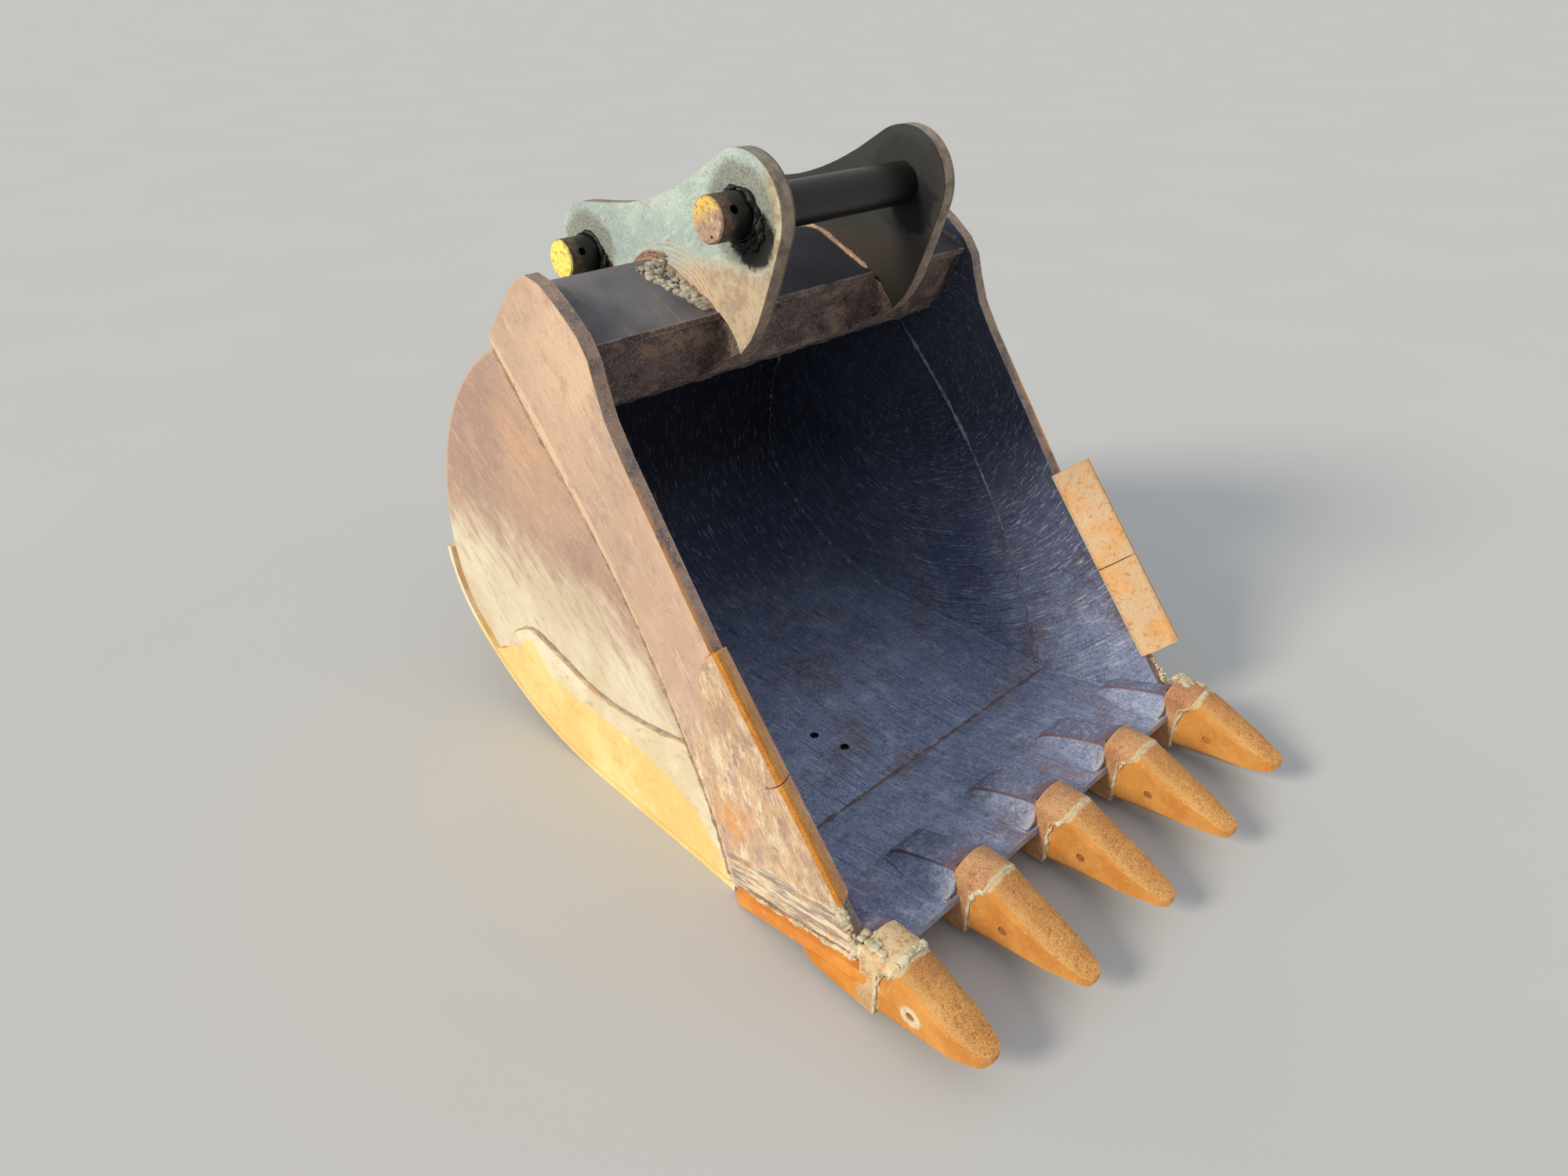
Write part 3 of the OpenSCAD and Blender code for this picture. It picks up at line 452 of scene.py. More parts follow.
def tooth_rust():
    """Teeth: grainy brown-orange on top, smoother yellow on the cheeks, grey underneath."""
    m, c, n1, n2, n3 = rust_cast("tooth_rust", (226, 156, 82), (208, 136, 66), (146, 88, 40),
                                 (250, 212, 140), 0.0)
    behind = m.step(m.sum(m.back, m.swing(n1, 0.1)), -0.2, -0.08)
    c = m.lay(c, (176, 112, 62), behind, 0.55)
    c = m.coats(
        c, (m.noise(480, 3, 0.85, shift=(4, 4, 1)), 0.54, 0.64, 0.7, (252, 222, 158)),
        (m.noise(150, 4, 0.8, shift=(1, 6, 1)), 0.53, 0.63, 0.6, (134, 80, 36)))
    cheek = m.blend(n1, 0.38, 0.62, (226, 156, 76), (212, 136, 58))
    cheek = m.coats(cheek, (n2, 0.56, 0.7, 0.6, (244, 204, 130)), (n3, 0.54, 0.7, 0.4, (180, 112, 50)))
    turned = m.sum(m.side, m.swing(n2, 0.9))
    c = m.lay(c, cheek, m.step(turned, 0.35, 0.85), 0.85)
    lit_edge = m.mul(m.step(m.math("ABSOLUTE", m.sum(m.nx, 0.42)), 0.26, 0.06), m.step(n3, 0.36, 0.56))
    c = m.lay(c, (246, 206, 130), lit_edge, 0.3)
    c = m.lay(c, (214, 194, 152), joint_dirt(m, n2, 0.0, 0.012), 0.85)
    ring = m.mul(m.near(*LOCK, -HALF - 0.02, 0.024), m.step(n2, 0.34, 0.5))
    c = m.lay(c, (232, 220, 186), ring, 0.85)
    c = m.lay(c, (232, 226, 208), m.near(-296, 34, 0.02, 0.013))
    c = m.lay(c, (150, 128, 104), m.step(m.nz, -0.1, -0.6), 0.6)
    return m.done(c)


def adapter_steel():
    """Adapters: brown rust at the collar, leg tops like the cutting edge, outer feet orange."""
    m, c, n1, n2, n3 = rust_cast("adapter_steel", (214, 162, 114), (190, 132, 88), (132, 86, 58),
                                 (236, 208, 166))
    feet = m.blend(m.nz, -0.1, -0.5, orange_dirt(m, n1, n3), (176, 150, 118))
    leg = m.step(m.back, 0.014, 0.028)
    c = m.mix(leg, c, feet)
    grey = m.blend(n1, 0.36, 0.62, (108, 112, 138), (126, 130, 154))
    grey = m.coats(
        grey, (n2, 0.5, 0.62, 0.7, (90, 92, 116)), (n2, 0.46, 0.36, 0.6, (190, 194, 206)),
        (n3, 0.54, 0.64, 0.65, (196, 198, 206)),
        (m.noise(34, 4, 0.75, by=(8, 0.3, 6)), 0.56, 0.68, 0.5, (180, 182, 196)))
    brown = m.blend(n1, 0.4, 0.6, (142, 96, 86), (112, 98, 112))
    bare = m.most(m.step(m.side, 0.5, 0.7), m.step(m.back, 0.07, 0.03))
    grey = m.lay(grey, brown, bare, 0.75)
    upper = m.mul(leg, m.step(m.above_lip(), -0.004, 0.004), m.step(m.wide, 0.61, 0.604))
    c = m.mix(upper, c, grey)
    c = m.lay(c, (214, 196, 156), joint_dirt(m, n2, 0.012, 0.0), 0.85)
    dusty = m.mul(m.step(m.x, -0.5, -0.52), m.step(n2, 0.38, 0.54), m.inv(leg))
    c = m.lay(c, (228, 206, 160), dusty, m.step(m.z, 0.05, 0.15, 0.35, 1.0), 0.8)
    return m.done(c)


def cutter_rust():
    """Side cutters: orange on the edges that dig, scuffed like the bars on their cheeks."""
    m, c, n1, n2, n3 = rust_cast("cutter_rust", (236, 156, 62), (216, 130, 40), (150, 84, 30),
                                 (240, 188, 118))
    strokes = m.noise(90, 4, 0.75, by=(1, 0.12, 1), turn=BAR_TURN)
    cheek = worn_low(m, n1, m.noise(44, 6, 0.72), strokes)
    cheek = m.coat(cheek, n3, 0.52, 0.68, 0.4, (126, 100, 84))
    c = m.lay(c, cheek, m.step(m.side, 0.6, 0.72), 0.94)
    right = m.step(m.x, 0.5, 0.55)
    sandy = m.blend(n1, 0.4, 0.6, (242, 184, 118), (234, 200, 156))
    sandy = m.coats(sandy, (n2, 0.52, 0.66, 0.7, (204, 116, 52)), (n3, 0.54, 0.68, 0.4, (176, 112, 66)))
    c = m.lay(c, sandy, right, m.step(m.nx, 0.3, 0.0), 0.85)
    return m.done(c)


def ochre(name):
    """Heel plates and strips: yellow dirt and rust low down, cream above, scuffed along the edges."""
    m = Mat(name, rough=0.85, level=0.25)
    n1, n2, n3 = m.noise(4.2, 6, 0.62), m.noise(24, 6, 0.72, shift=(2, 3, 1)), m.noise(300, 4, 0.78)
    c = m.blend(n1, 0.36, 0.6, (240, 214, 146), (232, 198, 126))
    c = m.coats(
        c, (n2, 0.52, 0.68, 0.5, (226, 172, 98)), (n2, 0.45, 0.32, 0.5, (246, 230, 180)),
        (n3, 0.54, 0.7, 0.4, (190, 138, 78)))
    hump = m.mul(m.step(m.math("ABSOLUTE", m.along(1, 0, -1.19)), 0.1, 0.0), -0.07)
    over = m.sum(m.falling(0.49, 0.215, 0.1, 0.1), hump, m.swing(n2, 0.05))
    cream_top = m.blend(n1, 0.4, 0.6, (234, 220, 188), (216, 198, 164))
    brush = m.noise(40, 5, 0.75, by=(1, 0.3, 1), turn=-0.4)
    cream_top = m.coat(cream_top, brush, 0.54, 0.66, 0.6, (190, 160, 128))
    c = m.blend(over, -0.012, 0.012, c, cream_top)
    rim = m.blend(n2, 0.4, 0.6, (206, 150, 82), (214, 190, 144))
    c = m.lay(c, rim, m.step(m.side, 0.8, 0.5), 0.7)
    m.bump(0.002, 0.6, (n2, 1), (n3, 0.5))
    return m.done(c)


def beam_steel():
    """The beam: smooth grey-brown top going dark towards the right as the arm's painted shadow over grease,
    reddish dark face and underside.
    """
    m = Mat("beam_steel", rough=0.6, level=0.4)
    n1, n2, n3 = m.noise(4.5, 6, 0.6, shift=(3, 3, 3)), m.noise(19, 6, 0.7), m.noise(220, 4, 0.78)
    top = m.blend(n1, 0.36, 0.62, (106, 102, 104), (84, 80, 84))
    top = m.coats(
        top, (m.noise(16, 5, 0.7, by=(3, 0.5, 0.5)), 0.52, 0.68, 0.5, (134, 120, 106)),
        (n3, 0.56, 0.7, 0.4, (78, 68, 62)))
    # the top goes dark towards the right: painted shadow of the arm, which is not modelled, over some grease
    top = m.mix(m.step(m.x, -0.26, -0.02, 0.0, 0.92), top, (38, 38, 48))
    face = m.blend(n1, 0.38, 0.6, (108, 88, 82), (84, 70, 70))
    face = m.coats(
        face, (n2, 0.5, 0.6, 0.8, (142, 114, 96)), (n2, 0.44, 0.34, 0.85, (44, 40, 46)),
        (m.noise(60, 5, 0.8, shift=(1, 5, 0)), 0.55, 0.64, 0.7, (52, 44, 46)),
        (n3, 0.55, 0.64, 0.85, (186, 162, 134)), (n3, 0.46, 0.36, 0.6, (42, 36, 38)))
    c = m.blend(m.nz, 0.25, 0.6, face, top)
    c = m.lay(c, (176, 158, 130), m.edges(0.007), m.step(n2, 0.4, 0.54), 0.7)
    m.bump(0.0018, 0.6, (n2, 0.9), (n3, 0.6))
    return m.done(c, m.step(n2, 0.3, 0.7, 0.45, 0.75))


def ear_paint():
    """Ears: pale worn green-grey paint, tan on the tail and the front, dust round the pins, grease and the
    pins' painted shadows below them, inner faces in painted shade.
    """
    m = Mat("ear_paint", rough=0.6, level=0.4)
    n1, n2, n3 = m.noise(6.5, 6, 0.6), m.noise(30, 6, 0.72, shift=(3, 0, 1)), m.noise(260, 4, 0.78)
    c = m.blend(n1, 0.36, 0.62, (190, 204, 190), (164, 180, 176))
    c = m.coats(
        c, (m.noise(70, 4, 0.7, by=(1, 0.2, 1), turn=-0.5), 0.54, 0.66, 0.5, (218, 222, 202)),
        (n2, 0.55, 0.66, 0.5, (158, 142, 118)), (n3, 0.52, 0.64, 0.55, (116, 118, 108)),
        (n3, 0.46, 0.36, 0.5, (222, 224, 200)))
    lobe = m.sum(m.back, m.swing(n1, 0.06))
    yellowed = m.blend(n2, 0.4, 0.6, (200, 192, 156), (160, 138, 110))
    c = m.blend(lobe, 0.685, 0.64, c, yellowed)
    tail = m.sum(m.z, m.swing(n1, 0.16))
    tail = m.mul(m.step(tail, 1.27, 1.19), m.step(m.back, 1.02, 0.86))
    tan = m.blend(n2, 0.42, 0.6, (208, 182, 146), (178, 150, 120))
    tan = m.coat(tan, n3, 0.54, 0.68, 0.5, (140, 114, 92))
    c = m.lay(c, tan, tail, 0.92)
    weld = m.step(m.far((960, 1085)), 0.185, 0.155)
    wave = m.math("SINE", m.sum(m.mul(m.far((960, 1085)), 560), m.mul(n1, 14)))
    c = m.lay(c, (222, 192, 156), weld, m.step(wave, -0.3, 0.8), m.step(n2, 0.34, 0.56), 0.65)
    rim = m.blend(n2, 0.38, 0.62, (134, 112, 92), (98, 86, 78))
    c = m.lay(c, rim, m.step(m.side, 0.8, 0.5), 0.85)
    c = m.lay(c, (194, 176, 146), m.edges(0.007), 0.5)
    dust = m.blend(n3, 0.44, 0.58, (150, 150, 134), (104, 104, 98))
    # below each pin a black patch: grease, and the pin's painted shadow
    for p, grease_and_shadow in ((ARM, (700, 1306)), (LINK, (1234, 1142))):
        c = m.lay(c, dust, m.patch(p, 0.098, n2, 0.05, 0.012), 0.85)
        c = m.lay(c, (14, 13, 12), m.patch(grease_and_shadow, 0.06, n2, 0.07, 0.008), 0.97)
    # the ears' inner faces painted dark: painted shade, deepest on the right ear where the arm's shadow falls
    inner = m.step(m.wide, 0.226, 0.222)
    c = m.lay(c, (26, 24, 26), m.step(m.x, 0.1, 0.2), inner, 0.94)
    c = m.lay(c, (58, 50, 46), m.step(m.x, -0.1, -0.2), inner, 0.7)
    m.bump(0.0018, 0.55, (n2, 0.8), (n3, 0.5))
    return m.done(c, m.step(n2, 0.3, 0.7, 0.42, 0.74))


def pin_steel():
    """Pins: rust and yellow paint on the end faces, black grease on the barrel, the cross holes black with
    grease and painted shade, a dark dot of painted shade for a small hole on the arm pin's ends.
    """
    m = Mat("pin_steel", rough=0.4, level=0.5)
    n1, n2, n3 = m.noise(18, 5, 0.6), m.noise(80, 5, 0.75), m.noise(300, 3, 0.7)
    end = m.mix(m.step(m.along(0.5, 1.0), 1.705, 1.745), (180, 146, 124), (230, 190, 96))
    end = m.coats(end, (n2, 0.5, 0.62, 0.75, (132, 92, 70)), (n2, 0.44, 0.34, 0.7, (244, 222, 110)))
    bright = m.blend(n2, 0.5, 0.62, (248, 232, 112), (206, 150, 74))
    end = m.mix(m.step(m.back, 1.0, 1.05), end, bright)
    # a dark dot on the arm pin's ends: painted shade of a small hole that is not modelled
    end = m.mix(m.patch((722, 1316), 0.0035, n1, 0.0, 0.0015), end, (20, 16, 14))
    barrel = m.blend(n2, 0.4, 0.6, (104, 78, 58), (64, 52, 44))
    black = m.sum(m.wide, m.swing(n1, 0.05))
    barrel = m.blend(black, 0.322, 0.3, barrel, (15, 13, 12))
    core = m.add("ShaderNodeMath", m.far(ARM), m.far(LINK), operation="MINIMUM").outputs[0]
    c = m.mix(m.mul(m.step(m.side, 0.5, 0.85), m.step(m.wide, 0.333, 0.336)), barrel, end)
    # the cross holes' walls painted black: grease, and painted shade in the holes
    hole_grease_and_shade = m.mul(m.step(core, 0.0445, 0.043), m.step(m.wide, 0.3335, 0.3315))
    c = m.mix(hole_grease_and_shade, c, (10, 9, 9))
    m.bump(0.001, 0.5, (n2, 1), (n3, 0.4))
    return m.done(c, m.step(black, 0.322, 0.3, 0.75, 0.34))


def plain(name, a, b, spot, scale=40, rough=0.9, bump=0.003):
    """Welds, mud, dirt and grease: two colours, spots of a third, a lumpy surface."""
    m = Mat(name, rough=rough, level=0.3)
    n1, n2, n3 = m.noise(scale * 0.4, 5, 0.6), m.noise(scale * 2, 5, 0.7), m.noise(scale * 7, 3, 0.7)
    c = m.blend(n1, 0.38, 0.62, a, b)
    c = m.coat(c, n2, 0.52, 0.68, 0.6, spot)
    m.bump(bump, 0.7, (n2, 1), (n3, 0.5))
    return m.done(c)


# Ways of making pieces
def piece(name, verts, faces, mat, slot):
    """A mesh that rides on the bucket, its vertices already in the part's frame."""
    me = bpy.data.meshes.new(name)
    me.from_pydata([tuple(v) for v in verts], [], faces)
    me.validate()
    me.update()
    bm = bmesh.new()
    bm.from_mesh(me)
    bmesh.ops.recalc_face_normals(bm, faces=bm.faces)
    bm.to_mesh(me)
    bm.free()
    for p in me.polygons:
        p.use_smooth = True
    ob = bpy.data.objects.new(name, me)
    scene.collection.objects.link(ob)
    me.materials.append(mat)
    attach(ob, "bucket")
    return ob


def resample(path, step):
    """The path's points, about step apart, on straight lines between the given ones."""
    out = [path[0].copy()]
    for a, b in zip(path, path[1:]):
        n = max(1, round((b - a).length / step))
        out += [a.lerp(b, (k + 1) / n) for k in range(n)]
    return out


def between(a, b, c, d, t):
    """One number of the spline from b to c, t = 0 to 1 on the way, a and d its neighbours."""
    square = 2 * a - 5 * b + 4 * c - d
    cube = 3 * b - a - 3 * c + d
    return 0.5 * (2 * b + (c - a) * t + square * t * t + cube * t ** 3)


def smooth_curve(pts, n):
    """The same spline through the points as the CAD source's curve()."""
    out = []
    for i in range(len(pts) - 1):
        four = pts[max(i - 1, 0)], pts[i], pts[i + 1], pts[min(i + 2, len(pts) - 1)]
        out += [tuple(between(*v, k / n) for v in zip(*four)) for k in range(n)]
    return out + [tuple(pts[-1])]


def bands(rings, around):
    """The faces between rings of points, around points in each."""
    quads = []
    for i in range(rings - 1):
        for k in range(around):
            j = (k + 1) % around
            quads.append((i * around + k, i * around + j, (i + 1) * around + j, (i + 1) * around + k))
    return quads


PITCH = 0.009                           # from one ripple of a weld to the next
BENDS, LUMPS, GRAINS = 14, 38, 130      # noise to a metre of a bead: its way, its lumps, its grain


def tube(path, r, seed, ripple=0.0, rough=0.0, wander=0.0, sides=8, step=0.004):
    """Rings of a tube along path: ripples of a weld bead, or the lumps of a dirt line."""
    pts = resample(path, step)
    verts, run = [], 0.0
    for i, p in enumerate(pts):
        t = (pts[min(i + 1, len(pts) - 1)] - pts[max(i - 1, 0)]).normalized()
        u = t.cross(Vector((1, 0, 0)) if abs(t.x) < 0.9 else Vector((0, 0, 1))).normalized()
        v = t.cross(u)
        run += (p - pts[i - 1]).length if i else 0
        wave = 1 - ripple * abs(math.sin(math.pi * run / PITCH))
        at_seed = Vector((seed * 7.3, seed * 3.1, seed * 1.7))
        swell = 1 + rough * 2.2 * noise.noise(p * LUMPS + at_seed)
        shift = wander * noise.noise_vector(p * BENDS + at_seed)
        end = min(1.0, 0.35 + min(i, len(pts) - 1 - i) * 0.22)
        for k in range(sides):
            a = 2 * math.pi * k / sides
            d = u * math.cos(a) + v * math.sin(a)
            grain = 1 + rough * 0.9 * noise.noise((p + d * r) * GRAINS + at_seed)
            verts.append(p + d * (r * end * max(0.12, wave * swell * grain)) + shift)
    last = (len(pts) - 1) * sides
    caps = [tuple(range(sides))[::-1], tuple(last + k for k in range(sides))]
    return verts, bands(len(pts), sides) + caps


def gather(parts):
    """Several meshes, each a list of points and one of faces, as one."""
    verts, faces = [], []
    for v, f in parts:
        n = len(verts)
        verts += v
        faces += [tuple(k + n for k in face) for face in f]
    return verts, faces


def beads(name, paths, r, mat, slot, seed, **how):
    """A piece of tubes of radius r, one along each path."""
    parts = [tube(p, r, seed + i, **how) for i, p in enumerate(paths)]
    return piece(name, *gather(parts), mat, slot)


def lump(centre, size, seed, squash=0.7, detail=2):
    """A crumbly clod round centre."""
    bm = bmesh.new()
    bmesh.ops.create_icosphere(bm, subdivisions=detail, radius=1.0)
    off = Vector((seed * 5.1, seed * 2.3, seed * 8.7))
    verts = []
    for v in bm.verts:
        k = 1 + 0.55 * noise.noise(v.co * 1.3 + off) + 0.3 * noise.noise(v.co * 3.7 + off)
        verts.append(centre + Vector((v.co.x, v.co.y, v.co.z * squash)) * size * k)
    faces = [tuple(v.index for v in f.verts) for f in bm.faces]
    bm.free()
    return verts, faces


def crumbs(path, count, size, spread, seed):
    """Clods of at most size scattered round a path, no further off than spread."""
    draw = random.Random(seed)
    pts = resample(path, 0.004)
    out = []
    for k in range(count):
        p = draw.choice(pts)
        off = Vector([draw.uniform(-spread, spread) for _ in range(3)])
        out.append(lump(p + off, size * (0.35 + 0.65 * draw.random() ** 2), seed + k, 0.8, 1))
    return out


def circle(c, r, a0, a1, n):
    """The arc round c from a0 to a1 degrees, in n steps."""
    turns = [math.radians(a0 + (a1 - a0) * k / n) for k in range(n + 1)]
    return [(c[0] + r * math.cos(a), c[1] + r * math.sin(a)) for a in turns]


def line(pts, x):
    """Points of the drawing as a path in the part's frame, x from its middle."""
    return [at(p[0], p[1], x) for p in pts]


def shell(d):
    """The shell's outline d in from its outside, from the cutting edge's rear end round to the top."""
    pts = [(394, 18 + d)] + circle(FC, FLOOR_R - d, -90, -49, 24) + circle(HC, HEEL_R - d, -49, 0, 24)[1:]
    pts += circle(BC, BACK_R - d, 0, 60, 36)[1:]
    return pts + [(pts[-1][0] - BACK_RUN * 0.866, pts[-1][1] + BACK_RUN * 0.5)]


# outlines of the drawing: side bar's rear edge, heel plate's upper edge, side bar's lean and front corner
SEAM = smooth_curve([(1150, 1068), (1094, 1009), (1003, 906), (880, 785), (760, 652), (648, 500), (548, 335),
                     (470, 180), (428, 60), (424, 40)], 6)
HEEL_EDGE = smooth_curve([(1376, 163), (1330, 190), (1290, 250), (1243, 289), (1181, 318), (1120, 312),
                          (1040, 296), (945, 276), (845, 270), (748, 282), (640, 303), (552, 328)], 5)
BAR_DIR = (math.cos(BAR_TURN), math.sin(BAR_TURN))
BAR_OUT = (-BAR_DIR[1], BAR_DIR[0])
KNEE = (456, 618.6)
# the beam: its rolled top, the flat in front of it down to a ledge, and its face below that
BEAM_C, BEAM_R, BEAM_A = (1010, 1090), 120, math.radians(22)
BEAM_D, BEAM_N = (math.cos(BEAM_A), math.sin(BEAM_A)), (-math.sin(BEAM_A), math.cos(BEAM_A))
BEAM_TAN = (BEAM_C[0] + BEAM_R * BEAM_N[0], BEAM_C[1] + BEAM_R * BEAM_N[1])
LEDGE = (BEAM_TAN[0] - 170 * BEAM_D[0], BEAM_TAN[1] - 170 * BEAM_D[1])
FACE_LOW, FACE_DIR = (901, 966), (-math.sin(math.radians(26.5)), math.cos(math.radians(26.5)))
BEAM_REAR = (1129.5, 1078.9)        # where the beam's rolled top meets the back sheet
TEETH = [(i - 2) * 0.285 for i in range(5)]
LEG_HALF = 0.043                    # half the width of an adapter's leg
# how far the beads and the dirt on the plates lie from the bucket's middle
CUTTER_X, BEAM_END_X, EAR_FACES, GREASE_X = 0.602, 0.5655, (0.259, 0.217), 0.258
TOE_X, HEAP_X, COLLAR_X, GAP_X = 0.606, 0.596, 0.59, 0.625


def on_lip(f, h):
    """A point f behind the cutting edge's front and h over its upper side."""
    return (LIP_FRONT[0] + f * COS_T + h * SIN_T, LIP_FRONT[1] - f * SIN_T + h * COS_T)


def on_bar(s, n):
    """A point s down the bar's front line from its knee and n out in front."""
    return (KNEE[0] - s * BAR_DIR[0] + n * BAR_OUT[0], KNEE[1] - s * BAR_DIR[1] + n * BAR_OUT[1])


# Materials on the CAD nodes, and rounded edges
shell_mat, lip_mat = shell_steel(), lip_steel()
plate_mat, bar_mat = outer_side("side_steel"), bar_steel("bar_steel")
tooth_mat, adapter_mat, cutter_mat = tooth_rust(), adapter_steel(), cutter_rust()
ochre_mat, beam_mat, ear_mat, pin_mat = ochre("ochre"), beam_steel(), ear_paint(), pin_steel()
flank_mat = dusty_flanks()
weld_dark = plain("weld_dark", (104, 84, 80), (120, 98, 90), (160, 134, 112), bump=0.002)
weld_rust = plain("weld_rust", (168, 136, 110), (136, 108, 92), (214, 186, 152), bump=0.002)
weld_seam = plain("weld_seam", (176, 142, 116), (150, 118, 98), (232, 204, 166), bump=0.002)
weld_heel = plain("weld_heel", (172, 158, 138), (140, 128, 116), (222, 206, 172), bump=0.002)
weld_pale = plain("weld_pale", (122, 124, 140), (74, 76, 92), (172, 172, 182), bump=0.002)
mud = plain("mud", (186, 176, 154), (150, 140, 122), (216, 206, 184), scale=60)
soil = plain("soil", (84, 74, 66), (60, 54, 52), (118, 104, 90), scale=60)
cream = plain("cream_dirt", (222, 208, 174), (190, 170, 134), (238, 228, 202), scale=60)
lock_rust = plain("lock_rust", (190, 124, 62), (150, 94, 48), (96, 66, 44), bump=0.002)
grease = plain("grease", (14, 13, 12), (22, 19, 17), (58, 54, 50), rough=0.3, bump=0.003)
# material and rounding by the start of a node's name; the first that fits counts
LOOK = {"wrapper": (shell_mat, 0), "lip": (lip_mat, 0.004), "side_plate": (plate_mat, 0.0012),
        "side_bar": (bar_mat, 0.003), "cutter": (cutter_mat, 0.004), "heel_plate": (ochre_mat, 0.0025),
        "wear_strips": (ochre_mat, 0.002), "beam": (beam_mat, 0.002), "ear_gussets": (beam_mat, 0),
        "ear": (ear_mat, 0.003), "adapter": (adapter_mat, 0.005), "tooth_locks": (lock_rust, 0),
        "tooth": (tooth_mat, 0.013), "arm_pin": (pin_mat, 0), "link_pin": (pin_mat, 0)}
SHARP = math.radians(38)            # edges that turn by more than this are rounded
for node, ob in NODES.items():
    mat, rounding = next(v for k, v in LOOK.items() if node.startswith(k))
    ob.data.materials.clear()
    ob.data.materials.append(mat)
    if rounding:
        b = ob.modifiers.new("round", "BEVEL")
        b.width = rounding
        b.segments = 2
        b.limit_method = "ANGLE"
        b.angle_limit = SHARP


# Welds along the plates
# a cutter's rear outline: how far down it, and how deep there, as parts of its length and of its depth
CUTTER_FORM = smooth_curve([(0, 0), (0.1, 0.4), (0.22, 0.72), (0.36, 0.91), (0.49, 1), (0.64, 0.97),
                            (0.79, 0.83), (0.92, 0.5), (1, 0)], 4)
CUTTER_DEEP = 96
ON_SEAM, ON_HEEL = [(y + 3, z - 3) for y, z in SEAM], [(y, z + 1) for y, z in HEEL_EDGE]
LIP_SIDE = [on_lip(f, 1) for f in range(40, 392, 30)]
# name, path, x, radius, material, slot, seed, ripple, rough, wander
SIDE_BEADS = (("seam_out", ON_SEAM, 0.5945, 0.009, weld_seam, "side", 3, 0.2, 0.2, 0.0015),
              ("seam_in", SEAM, 0.5675, 0.0048, weld_pale, "inner_steel", 9, 0.25, 0.6, 0.001),
              ("corner", shell(WRAP + 1), 0.566, 0.0065, flank_mat, "inner_steel", 13, 0.2, 0.0, 0.001),
              ("heel", ON_HEEL, 0.5885, 0.0042, weld_heel, "wear_plate", 17, 0.25, 0.4, 0.0),
              ("lip_out", LIP_SIDE, 0.6015, 0.0055, weld_rust, "side", 21, 0.2, 0.35, 0.0),
              ("lip_in", LIP_SIDE, 0.566, 0.007, flank_mat, "inner_steel", 25, 0.2, 0.0, 0.0))
EAR_PASSES = ((10, 0.2575), (18, 0.2562))       # how far up each further bead lies, and its x


def side_welds(s, side):
    """The beads of one side, s = -1 or 1."""
    for name, path, x, r, mat, slot, seed, ripple, rough, wander in SIDE_BEADS:
        beads("weld_%s_%s" % (name, side), [line(path, s * x)], r, mat, slot,
              seed=seed + s, ripple=ripple, rough=rough, wander=wander)
    for part, a, b in (("upper", 0, 272), ("lower", 275, 525)):
        edge = [on_bar(a + f * (b - a), -w * CUTTER_DEEP) for f, w in CUTTER_FORM]
        beads("weld_cutter_%s_%s" % (part, side), [line(edge, s * CUTTER_X)], 0.0058, weld_rust, "cutter",
              seed=31 + s, ripple=0.3, rough=0.3)


def beam_and_ear_welds(s, side):
    """The beads along the beam's ends and along the ears' feet on one side, s = -1 or 1."""
    top = [LEDGE, BEAM_TAN] + circle(BEAM_C, BEAM_R, 112, -5, 20)[1:]
    face = [(FACE_LOW[0] + k * FACE_DIR[0], FACE_LOW[1] + k * FACE_DIR[1]) for k in (0, 60, 120, 178)]
    beads("weld_beam_end_" + side, [line(p, s * BEAM_END_X) for p in (top, face)], 0.0075, soil, "beam",
          seed=41 + s, ripple=0.15, rough=0.3)
    on_beam = [(LEDGE[0] + 14, LEDGE[1] + 6)] + top[1:-2]
    on_back = circle(BC, BACK_R, 66, 46, 10)
    paths = [line(p, s * x) for p in (on_beam, on_back) for x in EAR_FACES]
    beads("weld_ear_" + side, paths, 0.0085, weld_seam, "ear",
          seed=51 + s, ripple=0.3, rough=0.15, wander=0.002)
    for k, (up, x) in enumerate(EAR_PASSES):
        raised = [(y - up * 0.4, z + up) for y, z in on_beam[2:14]]
        beads("weld_ear_pass_%d_%s" % (k + 1, side), [line(raised, s * x)], 0.005, weld_rust, "ear",
              seed=61 + s + 5 * k, ripple=0.3, rough=0.2, wander=0.003)


for s, side in ((-1, "left"), (1, "right")):
    side_welds(s, side)
    beam_and_ear_welds(s, side)
ACROSS = (-0.563, -0.3, 0.0, 0.3, 0.563)
CROSS_BEADS = (("weld_lip_floor", (395, 32.0), 0.0042, weld_dark, "inner_steel", 0.5),
               ("weld_under", (400, 16), 0.007, weld_rust, "inner_steel", 0.2),
               ("weld_beam_front", (FACE_LOW[0] + 2, FACE_LOW[1] + 1), 0.006, soil, "beam", 0.3),
               ("weld_beam_back", BEAM_REAR, 0.009, mud, "beam", 0.3))
for name, place, r, mat, slot, rough in CROSS_BEADS:
    beads(name, [[at(*place, x) for x in ACROSS]], r, mat, slot,
          seed=len(name), ripple=0.25, wander=0.002, rough=rough)


# Adapters: flanks, welds and the crust in the joints
# a shoulder's rows in millimetres: how far behind the cutting edge's front, how high, how wide
FLANK_ROWS = ((3, 50, 43), (30, 50, 42), (60, 46, 40), (108, 40, 35), (150, 31, 25), (186, 20, 14),
              (208, 3, 4))
DOWN = 7                            # points down the slope of a row
INTO_LEG, INTO_LIP = -6, -4         # how far a shoulder reaches into the steel beside and below it
UNEVEN = 0.0022


